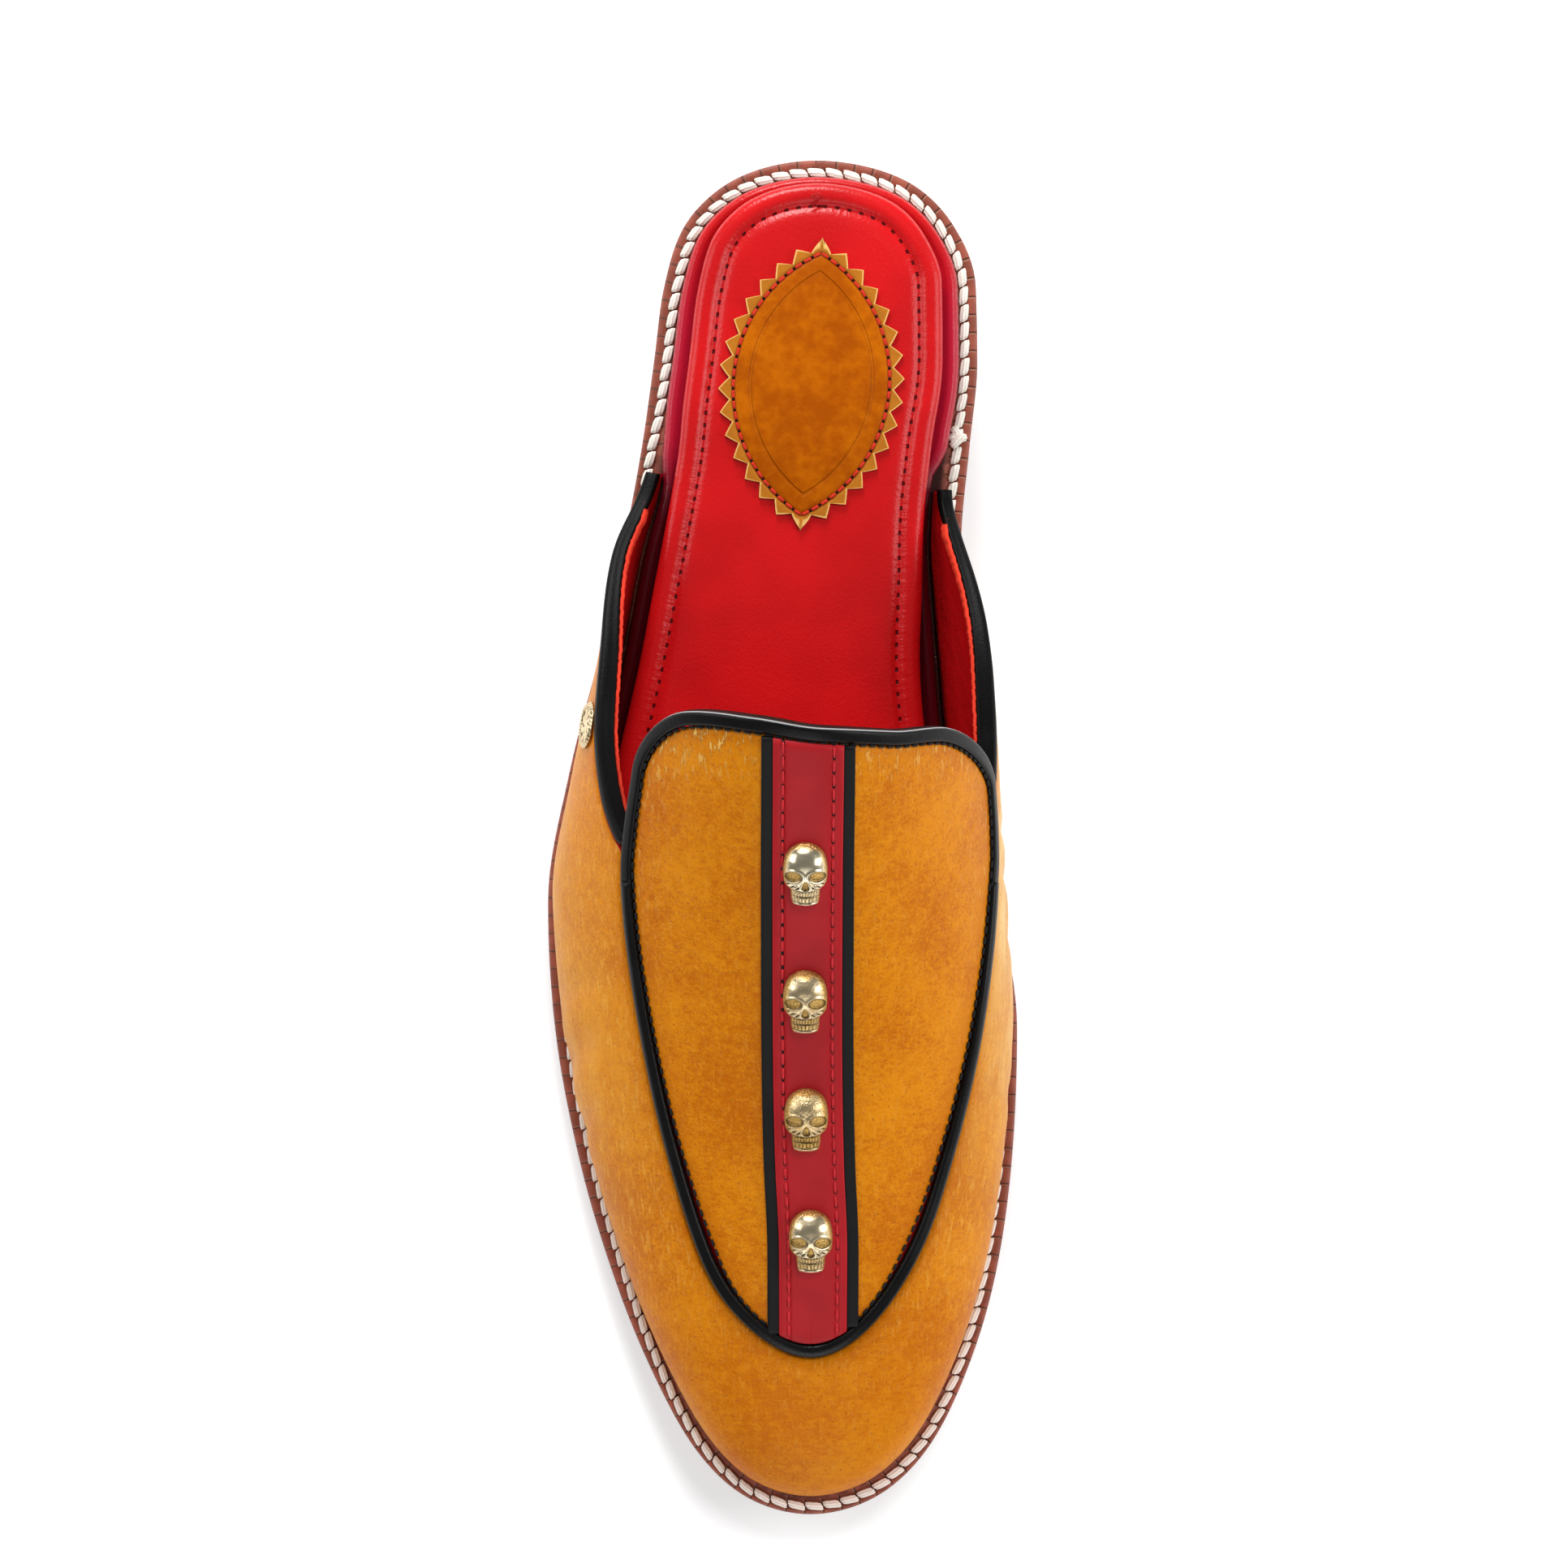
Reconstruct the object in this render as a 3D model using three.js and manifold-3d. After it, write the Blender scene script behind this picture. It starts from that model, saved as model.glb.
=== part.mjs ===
// A loafer mule for the right foot, in millimetres
// Z is up, the toe points along -Y and +X is the medial side; the sole stands on Z = 0
// A station ("at") is the distance from the back of the heel towards the toe
import * as THREE from "three";
import { mergeVertices } from "three/addons/utils/BufferGeometryUtils.js";
import Module from "manifold-3d";

const wasm = await Module();
wasm.setup();

// Sizes of the sole and the footbed
const LENGTH = 298;
const GAP = 0.3; // clearance between pieces that meet
const LIP = 4.4; // welt that shows outside the footbed and the toe
const OUTSOLE = 5;
const WELT = 3;
const FOOTBED = 5;
const INSOLE = 4;
const INSOLE_INSET = 3.6; // from the footbed's edge to the padded sock
const HEEL = { length: 61, bow: 4, topInset: 0.6, footInset: 2.8 };

// Sizes of the upper
const WALL = 2.2;
const SHELF = 1.45; // depth of the step in the wall that the apron lies in
const THROAT = 160; // station where collar, tongue and apron meet
const WING = { lateral: 69, medial: 73 }; // stations where the quarters end at the heel
const FAN = { from: 200, pivot: 252 }; // the half sections turn about the ridge between these stations

// Sizes of the trim
const APRON = { half: 39.6, from: 155, end: 261.4, power: 1.7, round: 1 / 1.9, proud: 0.2, blend: 20 };
const TONGUE = { half: 38, from: 126, corner: 10, cornerFrom: 0.72, thickness: 2.2, taper: [148, 157] };
// The piping's clear runs from the cord's centre to the leather on each side
const PIPE = { half: 1.45, rise: 1.3, clear: 1.8 };
const BINDING = { height: 3, inside: 0.4, outside: 0.5 };
const STRIP = { half: 7.4, thickness: 1, border: 2.4 };
const PATCH = { at: 50.5, x: 6, tilt: 4.4, half: 29.6, width: 19, tooth: 1.5, teeth: 19, thickness: 1 };
const STUD = { first: 159.5, pitch: 26.4, count: 4, width: 9, height: 13.4, depth: 4.6 };
const RIVET = { at: 124, along: 0.24, radius: 5.4, height: 2.2 };

// Edge of the sole seen from above
const OUTLINE = [
  { at: 0, lateral: 7.2, medial: 7.2 },
  { at: 6, lateral: -13.9, medial: 29.5 },
  { at: 14, lateral: -21.7, medial: 37.2 },
  { at: 28, lateral: -26.5, medial: 42.4 },
  { at: 45, lateral: -28.8, medial: 42.7 },
  { at: 63, lateral: -31.4, medial: 41.0 },
  { at: 85, lateral: -35.6, medial: 39.2 },
  { at: 105, lateral: -40.0, medial: 39.2 },
  { at: 134, lateral: -47.0, medial: 42.4 },
  { at: 163, lateral: -51.9, medial: 47.8 },
  { at: 191, lateral: -50.4, medial: 51.8 },
  { at: 220, lateral: -45.1, medial: 50.6 },
  { at: 248, lateral: -37.0, medial: 46.3 },
  { at: 270, lateral: -27.6, medial: 39.0 },
  { at: 284, lateral: -19.4, medial: 31.4 },
  { at: 292, lateral: -11.7, medial: 23.6 },
  { at: LENGTH, lateral: 5.8, medial: 5.8 },
];

// Welt left outside the upper: the quarters stand outside the footbed's line, the vamp on it
const FEATHER = [
  { at: 60, inset: 2.1 },
  { at: 90, inset: 2.3 },
  { at: 120, inset: 3.4 },
  { at: 150, inset: 4.3 },
  { at: LENGTH, inset: LIP },
];

// Height of the welt's top: heel seat, arch, flat ball and toe spring
const SEAT = [
  { at: 0, z: 26.6 },
  { at: 30, z: 25.0 },
  { at: 60, z: 22.8 },
  { at: 90, z: 18.2 },
  { at: 120, z: 12.8 },
  { at: 148, z: 9.1 },
  { at: 166, z: 8.3 },
  { at: 212, z: 8.3 },
  { at: 238, z: 10.0 },
  { at: 265, z: 13.3 },
  { at: LENGTH, z: 18.0 },
];

// Ridge of the last, from the cone over the heel to the toe box
const RIDGE = [
  { at: 60, x: 5.2, z: 110 },
  { at: 100, x: 5.0, z: 102 },
  { at: 124, x: 4.7, z: 92 },
  { at: 142, x: 4.6, z: 83.5 },
  { at: 160, x: 4.5, z: 74.6 },
  { at: 180, x: 4.5, z: 65.6 },
  { at: 200, x: 4.6, z: 57.4 },
  { at: 220, x: 5.0, z: 50.2 },
  { at: 240, x: 5.8, z: 43.6 },
  { at: 252, x: 5.8, z: 39.6 },
];

// Each half section rises from the feather edge (rise, flare in degrees) and reaches in from the ridge
const FORM = [
  { at: 60, lRise: 0.4, lFlare: 20, lReach: 0.6, mRise: 0.4, mFlare: 18, mReach: 0.6 },
  { at: 84, lRise: 0.42, lFlare: 21, lReach: 0.6, mRise: 0.44, mFlare: 30, mReach: 0.6 },
  { at: 110, lRise: 0.44, lFlare: 17, lReach: 0.6, mRise: 0.5, mFlare: 37, mReach: 0.6 },
  { at: 135, lRise: 0.44, lFlare: 25, lReach: 0.54, mRise: 0.52, mFlare: 38, mReach: 0.62 },
  { at: 163, lRise: 0.42, lFlare: 34, lReach: 0.48, mRise: 0.5, mFlare: 36, mReach: 0.62 },
  { at: 190, lRise: 0.42, lFlare: 34, lReach: 0.46, mRise: 0.46, mFlare: 32, mReach: 0.58 },
  { at: 220, lRise: 0.46, lFlare: 28, lReach: 0.46, mRise: 0.46, mFlare: 28, mReach: 0.52 },
  { at: 250, lRise: 0.52, lFlare: 20, lReach: 0.5, mRise: 0.52, mFlare: 20, mReach: 0.5 },
  { at: 294, lRise: 0.6, lFlare: 12, lReach: 0.55, mRise: 0.6, mFlare: 12, mReach: 0.55 },
];

// Height of the quarters' cut edge over the welt
const TOPLINE = [
  { at: 69, lateral: 0.8, medial: 0.4 },
  { at: 76, lateral: 4, medial: 2.2 },
  { at: 84, lateral: 10, medial: 8.2 },
  { at: 92, lateral: 16, medial: 14.6 },
  { at: 100, lateral: 21.5, medial: 20 },
  { at: 110, lateral: 27.5, medial: 25.5 },
  { at: 120, lateral: 32.5, medial: 29 },
  { at: 130, lateral: 36.5, medial: 31.5 },
  { at: 145, lateral: 42, medial: 34 },
  { at: 160, lateral: 48, medial: 38.5 },
];

// Station of the tongue's top edge across its width, from lateral (-1) to medial (1)
const TONGUE_TOP = [
  { across: -1, at: 127.6 },
  { across: -0.7, at: 126.8 },
  { across: -0.3, at: 128.6 },
  { across: 0.1, at: 130.8 },
  { across: 0.45, at: 131 },
  { across: 0.75, at: 129.6 },
  { across: 1, at: 129.6 },
];

const COLOURS = {
  mustard: { color: 0xc8861c, roughness: 0.5 },
  crimson: { color: 0xa51e28, roughness: 0.5 },
  red: { color: 0xc8191e, roughness: 0.45 },
  black: { color: 0x1c1a18, roughness: 0.45 },
  brown: { color: 0x96502f, roughness: 0.6 },
  sole: { color: 0x6e3c26, roughness: 0.6 },
  gold: { color: 0xcdb478, roughness: 0.3, metalness: 1 },
};

// Smooth curve through one column of a table, with no overshoot between rows
function curveOf(rows, column, key = "at") {
  const x = rows.map((row) => row[key]);
  const y = rows.map((row) => row[column]);
  const step = x.slice(1).map((value, i) => value - x[i]);
  const rate = step.map((h, i) => (y[i + 1] - y[i]) / h);
  const slope = y.map((_, i) => {
    if (i === 0) return rate[0];
    if (i === y.length - 1) return rate[i - 1];
    const [a, b] = [rate[i - 1], rate[i]];
    const mean = (a * step[i] + b * step[i - 1]) / (step[i - 1] + step[i]);
    return (Math.sign(a) + Math.sign(b)) * Math.min(Math.abs(a), Math.abs(b), Math.abs(mean) / 2);
  });
  return (value) => {
    const v = THREE.MathUtils.clamp(value, x[0], x[x.length - 1]);
    let i = 0;
    while (i < step.length - 1 && v > x[i + 1]) i++;
    const t = (v - x[i]) / step[i];
    const start = (1 + 2 * t) * y[i] + t * step[i] * slope[i];
    const finish = (3 - 2 * t) * y[i + 1] + (t - 1) * step[i] * slope[i + 1];
    return (1 - t) ** 2 * start + t * t * finish;
  };
}

// Halves the range until the point where the test turns true
function firstTrue(test, low, high) {
  for (let i = 0; i < 34; i++) {
    const middle = (low + high) / 2;
    if (test(middle)) high = middle;
    else low = middle;
  }
  return (low + high) / 2;
}

const place = (x, at, z) => new THREE.Vector3(x, LENGTH / 2 - at, z);
const stationOf = (point) => LENGTH / 2 - point.y;
const spread = (count, from, to) =>
  Array.from({ length: count + 1 }, (_, i) => from + ((to - from) * i) / count);

const seat = curveOf(SEAT, "z");
const featherInset = curveOf(FEATHER, "inset");
const ridgeX = curveOf(RIDGE, "x");
const ridgeZ = curveOf(RIDGE, "z");
const tongueTop = curveOf(TONGUE_TOP, "at", "across");
const topline = { lateral: curveOf(TOPLINE, "lateral"), medial: curveOf(TOPLINE, "medial") };
const formOf = (letter) => ({
  rise: curveOf(FORM, `${letter}Rise`),
  flare: curveOf(FORM, `${letter}Flare`),
  reach: curveOf(FORM, `${letter}Reach`),
});
const form = { lateral: formOf("l"), medial: formOf("m") };

// The outline runs by an angle: 0 at the heel, pi at the toe, lateral side first
const angleAt = (at) => Math.acos(1 - (2 * at) / LENGTH);
const outlineX = (() => {
  const lateral = OUTLINE.map((row) => ({ angle: angleAt(row.at), x: row.lateral }));
  const medial = OUTLINE.map((row) => ({ angle: 2 * Math.PI - angleAt(row.at), x: row.medial }));
  const loop = [...lateral, ...medial.reverse().slice(1)];
  const before = { angle: loop[loop.length - 2].angle - 2 * Math.PI, x: loop[loop.length - 2].x };
  const after = { angle: loop[1].angle + 2 * Math.PI, x: loop[1].x };
  return curveOf([before, ...loop, after], "x", "angle");
})();

function outline(angle) {
  const turn = THREE.MathUtils.euclideanModulo(angle, 2 * Math.PI);
  return place(outlineX(turn), (LENGTH / 2) * (1 - Math.cos(turn)), 0);
}

// Point of the outline moved inwards
function rim(angle, inset) {
  const along = outline(angle + 1e-3).sub(outline(angle - 1e-3)).normalize();
  return outline(angle).add(new THREE.Vector3(-along.y, along.x, 0).multiplyScalar(inset));
}

const sideOf = (angle) => (angle <= Math.PI ? "lateral" : "medial");
const sideAcross = (x) => (x < 0 ? "lateral" : "medial");

// Feather edge, where the upper meets the welt
const feather = (angle) => rim(angle, featherInset(stationOf(outline(angle))));

// Angle of the feather edge at a station, on one side
function featherAngle(at, side) {
  const beyond = (angle) => stationOf(feather(angle)) >= at;
  if (side === "lateral") return firstTrue(beyond, 0, Math.PI);
  return 2 * Math.PI - firstTrue((turn) => beyond(2 * Math.PI - turn), 0, Math.PI);
}

// Station on the ridge where the half section of a feather station ends
function ridgeStation(at) {
  if (at <= FAN.from) return at;
  const reach = LENGTH - LIP - FAN.from;
  const share = Math.min((at - FAN.from) / reach, 1);
  const run = FAN.pivot - FAN.from;
  return FAN.from + run * (1 - (1 - share) ** (reach / run));
}

const ridgeSlope = (at) => {
  const low = Math.min(at, FAN.pivot) - 1;
  return (ridgeZ(low + 1) - ridgeZ(low - 1)) / 2;
};

// Half section of the last, from the feather edge up to the ridge
function section(angle) {
  const foot = feather(angle);
  const at = stationOf(foot);
  foot.z = seat(at) + GAP;
  const top = ridgeStation(at);
  const crest = place(ridgeX(top), top, ridgeZ(top));
  const shape = form[sideOf(angle)];
  const inwards = new THREE.Vector3(crest.x - foot.x, crest.y - foot.y, 0);
  const width = inwards.length();
  inwards.normalize();
  const flare = THREE.MathUtils.degToRad(shape.flare(at));
  const lift = shape.rise(at) * (crest.z - foot.z);
  const wall = inwards.clone().multiplyScalar(-Math.sin(flare)).setZ(Math.cos(flare));
  const roof = inwards.clone().setZ(-inwards.y * ridgeSlope(top));
  return new THREE.CubicBezierCurve3(
    foot,
    foot.clone().addScaledVector(wall, lift),
    crest.clone().addScaledVector(roof, -shape.reach(at) * width),
    crest,
  );
}

// Outward normal of the last at an angle and a share of its half section
function lastNormal(angle, share) {
  if (share > 0.999) {
    const at = ridgeStation(stationOf(feather(angle)));
    return new THREE.Vector3(0, ridgeSlope(at), 1).normalize();
  }
  const s = Math.min(share, 0.97);
  const turn = 0.01;
  const across = section(angle + turn).getPoint(s).sub(section(angle - turn).getPoint(s));
  return section(angle).getTangent(s).cross(across).normalize().negate();
}

// Point of the last's skin, raised along its normal
function onSection(angle, share, raise = 0) {
  return section(angle).getPoint(share).addScaledVector(lastNormal(angle, share), raise);
}

// Share of a half section where it bulges furthest from the ridge
function widest(half) {
  const reach = (share) => half.getPoint(share).sub(half.v3).setZ(0).length();
  return spread(24, 0, 0.6).reduce((best, share) => (reach(share) > reach(best) ? share : best), 0);
}

// Angle and share of the last's point over a place in plan
function overPlan(x, at) {
  if (at > FAN.pivot && Math.abs(x - ridgeX(at)) < 0.02) {
    const toe = section(Math.PI);
    return { angle: Math.PI, share: firstTrue((share) => stationOf(toe.getPoint(share)) <= at, 0, 1) };
  }
  const lateral = x <= ridgeX(at);
  const shareAt = (angle) => {
    const half = section(angle);
    const inside = (share) => (lateral ? half.getPoint(share).x >= x : half.getPoint(share).x <= x);
    return firstTrue(inside, widest(half), 1);
  };
  const reaches = (angle) => {
    const half = section(angle);
    const bulge = half.getPoint(widest(half));
    if (lateral ? bulge.x > x : bulge.x < x) return true;
    return stationOf(half.getPoint(shareAt(angle))) >= at;
  };
  const start = angleAt(Math.max(at - 8, 1));
  const angle = lateral
    ? firstTrue(reaches, start, Math.PI)
    : 2 * Math.PI - firstTrue((turn) => reaches(2 * Math.PI - turn), start, Math.PI);
  return { angle, share: shareAt(angle) };
}

function onLast(x, at, raise = 0) {
  const { angle, share } = overPlan(x, at);
  return onSection(angle, share, raise);
}

// Half width of apron and tongue at a station, seen from above; stretch moves the toe end
function apronHalf(at, stretch = 0) {
  if (at < APRON.from) {
    const share = (at - TONGUE.from) / (APRON.from - TONGUE.from);
    return THREE.MathUtils.lerp(TONGUE.half, APRON.half, share);
  }
  const share = Math.min((at - APRON.from) / (APRON.end + stretch - APRON.from), 1);
  return APRON.half * (1 - share ** APRON.power) ** APRON.round;
}

// How much of a step along the skin shows from above at the apron's edge, where the skin is steep
const lean = Object.fromEntries(
  ["lateral", "medial"].map((side) => {
    const rows = spread(8, TONGUE.from, FAN.from).map((at) => {
      const half = section(featherAngle(at, side));
      const inside = (share) => Math.abs(half.getPoint(share).x - ridgeX(at)) < apronHalf(at);
      const edge = firstTrue(inside, widest(half), 1);
      const run = half.getTangent(edge);
      return { at, shows: Math.hypot(run.x, run.y) };
    });
    return [side, curveOf([...rows, { at: APRON.end, shows: 0.9 }], "shows")];
  }),
);

// Half width grown by a distance along the skin
function grownHalf(at, grow, side) {
  const fade = Math.min(1, (APRON.end + grow - at) / APRON.blend);
  return apronHalf(at, grow) + grow * lean[side](at) * fade;
}

// Station where the tongue ends at a place across it, with round corners
function tongueEnd(across) {
  const past = Math.max(Math.abs(across) - TONGUE.cornerFrom, 0) / (1 - TONGUE.cornerFrom);
  return tongueTop(across) + TONGUE.corner * (1 - Math.sqrt(1 - Math.min(past, 1) ** 2));
}

// Share of a half section where the outline of apron and tongue, grown all round, begins
function apronEdge(half, grow) {
  const under = (share) => {
    const point = half.getPoint(share);
    const at = stationOf(point);
    if (at >= APRON.end + grow) return false;
    const x = point.x - ridgeX(at);
    return Math.abs(x) < grownHalf(at, grow, sideAcross(x));
  };
  return firstTrue(under, widest(half), 1);
}

// Share of the half section where the wall's full thickness ends: the top line, or the apron's step
function wallTop(angle) {
  const half = section(angle);
  const side = sideOf(angle);
  const step = apronEdge(half, PIPE.clear);
  const foot = half.v0;
  const at = stationOf(foot);
  if (at >= THROAT - 0.01) return step;
  const cut = firstTrue((share) => half.getPoint(share).z - foot.z > topline[side](at), 0, 0.9);
  return Math.min(cut, step);
}

// Collects faces and closes them into one geometry
class Skin {
  constructor() {
    this.corners = [];
  }
  face(...loop) {
    for (let i = 2; i < loop.length; i++) this.corners.push(loop[0], loop[i - 1], loop[i]);
  }
  sheet(grid) {
    for (let i = 1; i < grid.length; i++)
      for (let j = 1; j < grid[i].length; j++)
        this.face(grid[i - 1][j - 1], grid[i][j - 1], grid[i][j], grid[i - 1][j]);
  }
  back(grid) {
    this.sheet(grid.map((row) => [...row].reverse()));
  }
  wall(upper, lower) {
    for (let i = 1; i < upper.length; i++) this.face(upper[i - 1], upper[i], lower[i], lower[i - 1]);
  }
  geometry() {
    const loose = new THREE.BufferGeometry().setFromPoints(this.corners);
    const merged = mergeVertices(loose, 1e-3);
    merged.setIndex(wholeFaces(merged.index.array));
    return volumeOf(merged) < 0 ? turned(merged) : merged;
  }
}

// Faces left when those that merging has narrowed to an edge are dropped
function wholeFaces(source) {
  const faces = [];
  for (let i = 0; i < source.length; i += 3) {
    const [a, b, c] = source.slice(i, i + 3);
    if (a !== b && b !== c && c !== a) faces.push(a, b, c);
  }
  return faces;
}

function volumeOf(geometry) {
  const { position } = geometry.attributes;
  const corner = (i) => new THREE.Vector3().fromBufferAttribute(position, geometry.index.array[i]);
  let volume = 0;
  for (let i = 0; i < geometry.index.count; i += 3)
    volume += corner(i).dot(corner(i + 1).cross(corner(i + 2))) / 6;
  return volume;
}

function turned(geometry) {
  return geometry.setIndex([...geometry.index.array].reverse());
}

// Solid between an upper and a lower grid of the same size
function slabGeometry(upper, lower) {
  const skin = new Skin();
  const last = upper.length - 1;
  const column = (grid, j) => grid.map((row) => row.at(j));
  skin.sheet(upper);
  skin.back(lower);
  skin.wall(column(upper, 0).reverse(), column(lower, 0).reverse());
  skin.wall(column(upper, -1), column(lower, -1));
  skin.wall(upper[0], lower[0]);
  skin.wall([...upper[last]].reverse(), [...lower[last]].reverse());
  return skin.geometry();
}

// Cord along a path: each stop has a centre and two axes, and the section lists points along them
function cordGeometry(stops, section2d) {
  const skin = new Skin();
  const corner = (stop, a, b) =>
    stop.centre.clone().addScaledVector(stop.across, a).addScaledVector(stop.up, b);
  const ring = (stop) => section2d.map(([a, b]) => corner(stop, a, b));
  const rings = stops.map(ring);
  skin.sheet(rings.map((points) => [...points, points[0]]));
  skin.face(...rings[0]);
  skin.face(...[...rings.at(-1)].reverse());
  return skin.geometry();
}

// Stops of a cord over the last's skin, along points of a plan path
function stopsOnLast(path) {
  const found = path.map(([x, at]) => overPlan(x, at));
  const centres = found.map(({ angle, share }) => onSection(angle, share));
  return found.map(({ angle, share }, i) => {
    const along = centres[Math.min(i + 1, centres.length - 1)].clone().sub(centres[Math.max(i - 1, 0)]);
    const up = lastNormal(angle, share);
    return { centre: centres[i], across: along.cross(up).normalize(), up };
  });
}

// Full-length layer of the sole: rings from bottom to top, each with an inset and a height over a base
const PLATE_ROWS = 26;
const PLATE_COLUMNS = 4;
function plateGeometry(rings, base) {
  const angles = spread(PLATE_ROWS, 0, Math.PI);
  const edge = (ring, angle) => rim(angle, (ring.from?.(angle) ?? 0) + ring.inset);
  const seated = (ring, point) => point.setZ(base(stationOf(point)) + ring.rise);
  const cap = (ring) =>
    angles.map((angle) =>
      spread(PLATE_COLUMNS, 0, 1).map((share) =>
        seated(ring, edge(ring, angle).lerp(edge(ring, 2 * Math.PI - angle), share)),
      ),
    );
  const loop = (ring) =>
    [...angles, ...angles.map((angle) => 2 * Math.PI - angle).reverse().slice(1)].map((angle) =>
      seated(ring, edge(ring, angle)),
    );
  const skin = new Skin();
  skin.sheet(cap(rings.at(-1)));
  skin.back(cap(rings[0]));
  for (let i = 1; i < rings.length; i++)
    skin.wall(loop(rings[i]).reverse(), loop(rings[i - 1]).reverse());
  return skin.geometry();
}

const weltFoot = (at) => seat(at) - WELT;
const outsoleFoot = (at) => Math.max(weltFoot(at) - GAP - OUTSOLE, 0);

function outsole() {
  const rings = [
    { inset: 1.6, rise: 0 },
    { inset: 0.5, rise: 1.2 },
    { inset: 0.5, rise: OUTSOLE },
  ];
  return plateGeometry(rings, outsoleFoot);
}

function welt() {
  const rings = [
    { inset: 0.4, rise: 0 },
    { inset: 0, rise: 0.7 },
    { inset: 0, rise: WELT - 0.8 },
    { inset: 0.6, rise: WELT },
  ];
  return plateGeometry(rings, weltFoot);
}

// The footbed's edge keeps inside the upper's wall
const footbedEdge = (angle) => {
  const wall = featherInset(stationOf(outline(angle))) + WALL;
  return Math.max(LIP, wall + 2 * GAP);
};

const footbedFoot = (at) => seat(at) + GAP;

function footbed() {
  const rings = [
    { from: footbedEdge, inset: 0, rise: 0 },
    { from: footbedEdge, inset: 0, rise: FOOTBED * 0.55 },
    { from: footbedEdge, inset: 0.9, rise: FOOTBED * 0.85 },
    { from: footbedEdge, inset: 2.4, rise: FOOTBED },
  ];
  return plateGeometry(rings, footbedFoot);
}

const insoleFoot = (at) => footbedFoot(at) + FOOTBED + GAP;
const insoleTop = (at) => insoleFoot(at) + INSOLE;

function insole() {
  const from = (angle) => footbedEdge(angle) + INSOLE_INSET;
  const rings = [
    { from, inset: 0.5, rise: 0 },
    { from, inset: 0, rise: INSOLE * 0.4 },
    { from, inset: 0.7, rise: INSOLE * 0.82 },
    { from, inset: 2.4, rise: INSOLE },
  ];
  return plateGeometry(rings, insoleFoot);
}

// Heel block with a bowed breast, tapering to the floor
function heel() {
  const rows = spread(7, 0, angleAt(HEEL.length));
  const columns = spread(6, -1, 1);
  const grid = (inset, height) =>
    rows.map((angle, row) =>
      columns.map((across) => {
        const point = rim(angle, inset).lerp(rim(2 * Math.PI - angle, inset), (across + 1) / 2);
        if (row === rows.length - 1) point.y += HEEL.bow * (1 - across * across);
        return point.setZ(height(stationOf(point)));
      }),
    );
  return slabGeometry(grid(HEEL.topInset, (at) => outsoleFoot(at) - GAP), grid(HEEL.footInset, () => 0));
}

// Stops of the walk round the upper: lateral wing, toe, medial wing
const WING_ROWS = 14;
const FORE_ROWS = 20;
const SIDE_COLUMNS = 6;
const ROOF_COLUMNS = 7;
const wingStations = (side) => spread(WING_ROWS, WING[side], THROAT).slice(0, -1);
function walkRound() {
  const throat = featherAngle(THROAT, "lateral");
  const fore = spread(FORE_ROWS, throat, Math.PI).map((angle) => stationOf(feather(angle)));
  const stops = (side) => [
    ...wingStations(side).map((at) => ({ angle: featherAngle(at, side), fore: false })),
    ...fore.slice(0, -1).map((at) => ({ angle: featherAngle(at, side), fore: true })),
  ];
  return [...stops("lateral"), { angle: Math.PI, fore: true }, ...stops("medial").reverse()];
}

// One hollow wall: full thickness at the sides, a shelf under the apron, open at throat, heel and below
function upper() {
  const walk = walkRound();
  const skin = new Skin();
  const tops = walk.map(({ angle }) => wallTop(angle));
  const side = (raise) =>
    walk.map(({ angle }, i) =>
      spread(SIDE_COLUMNS, 0, 1).map((share) => {
        if (share > 0 || raise === 0) return onSection(angle, share * tops[i], raise);
        const half = section(angle);
        const inwards = half.v3.clone().sub(half.v0).setZ(0).normalize();
        return half.v0.clone().addScaledVector(inwards, -raise);
      }),
    );
  const roof = (raise) =>
    walk.map(({ angle, fore }, i) =>
      fore ? spread(ROOF_COLUMNS, tops[i], 1).map((share) => onSection(angle, share, raise)) : null,
    );
  const outer = side(0);
  const inner = side(-WALL);
  const shelf = roof(-SHELF);
  const lining = roof(-WALL);
  const first = shelf.findIndex((row) => row);
  const last = shelf.findLastIndex((row) => row);
  const end = walk.length - 1;
  const column = (grid, j) => grid.map((row) => row.at(j));
  const foreRows = (grid) => grid.slice(first, last + 1);
  skin.sheet(outer);
  skin.back(inner);
  skin.sheet(foreRows(shelf));
  skin.back(foreRows(lining));
  skin.wall(column(outer, 0).reverse(), column(inner, 0).reverse());
  skin.wall(column(foreRows(outer), -1), column(foreRows(shelf), 0));
  skin.wall(outer[0], inner[0]);
  skin.wall([...outer[end]].reverse(), [...inner[end]].reverse());
  skin.wall(shelf[first], lining[first]);
  skin.wall([...shelf[last]].reverse(), [...lining[last]].reverse());
  const rims = [column(outer, -1), column(inner, -1)];
  skin.wall(rims[0].slice(0, first), rims[1].slice(0, first));
  skin.wall(rims[0].slice(last + 1), rims[1].slice(last + 1));
  skin.face(rims[0][first - 1], rims[0][first], shelf[first][0], rims[1][first], rims[1][first - 1]);
  skin.face(rims[0][last], rims[0][last + 1], rims[1][last + 1], rims[1][last], shelf[last][0]);
  return skin.geometry();
}

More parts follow.
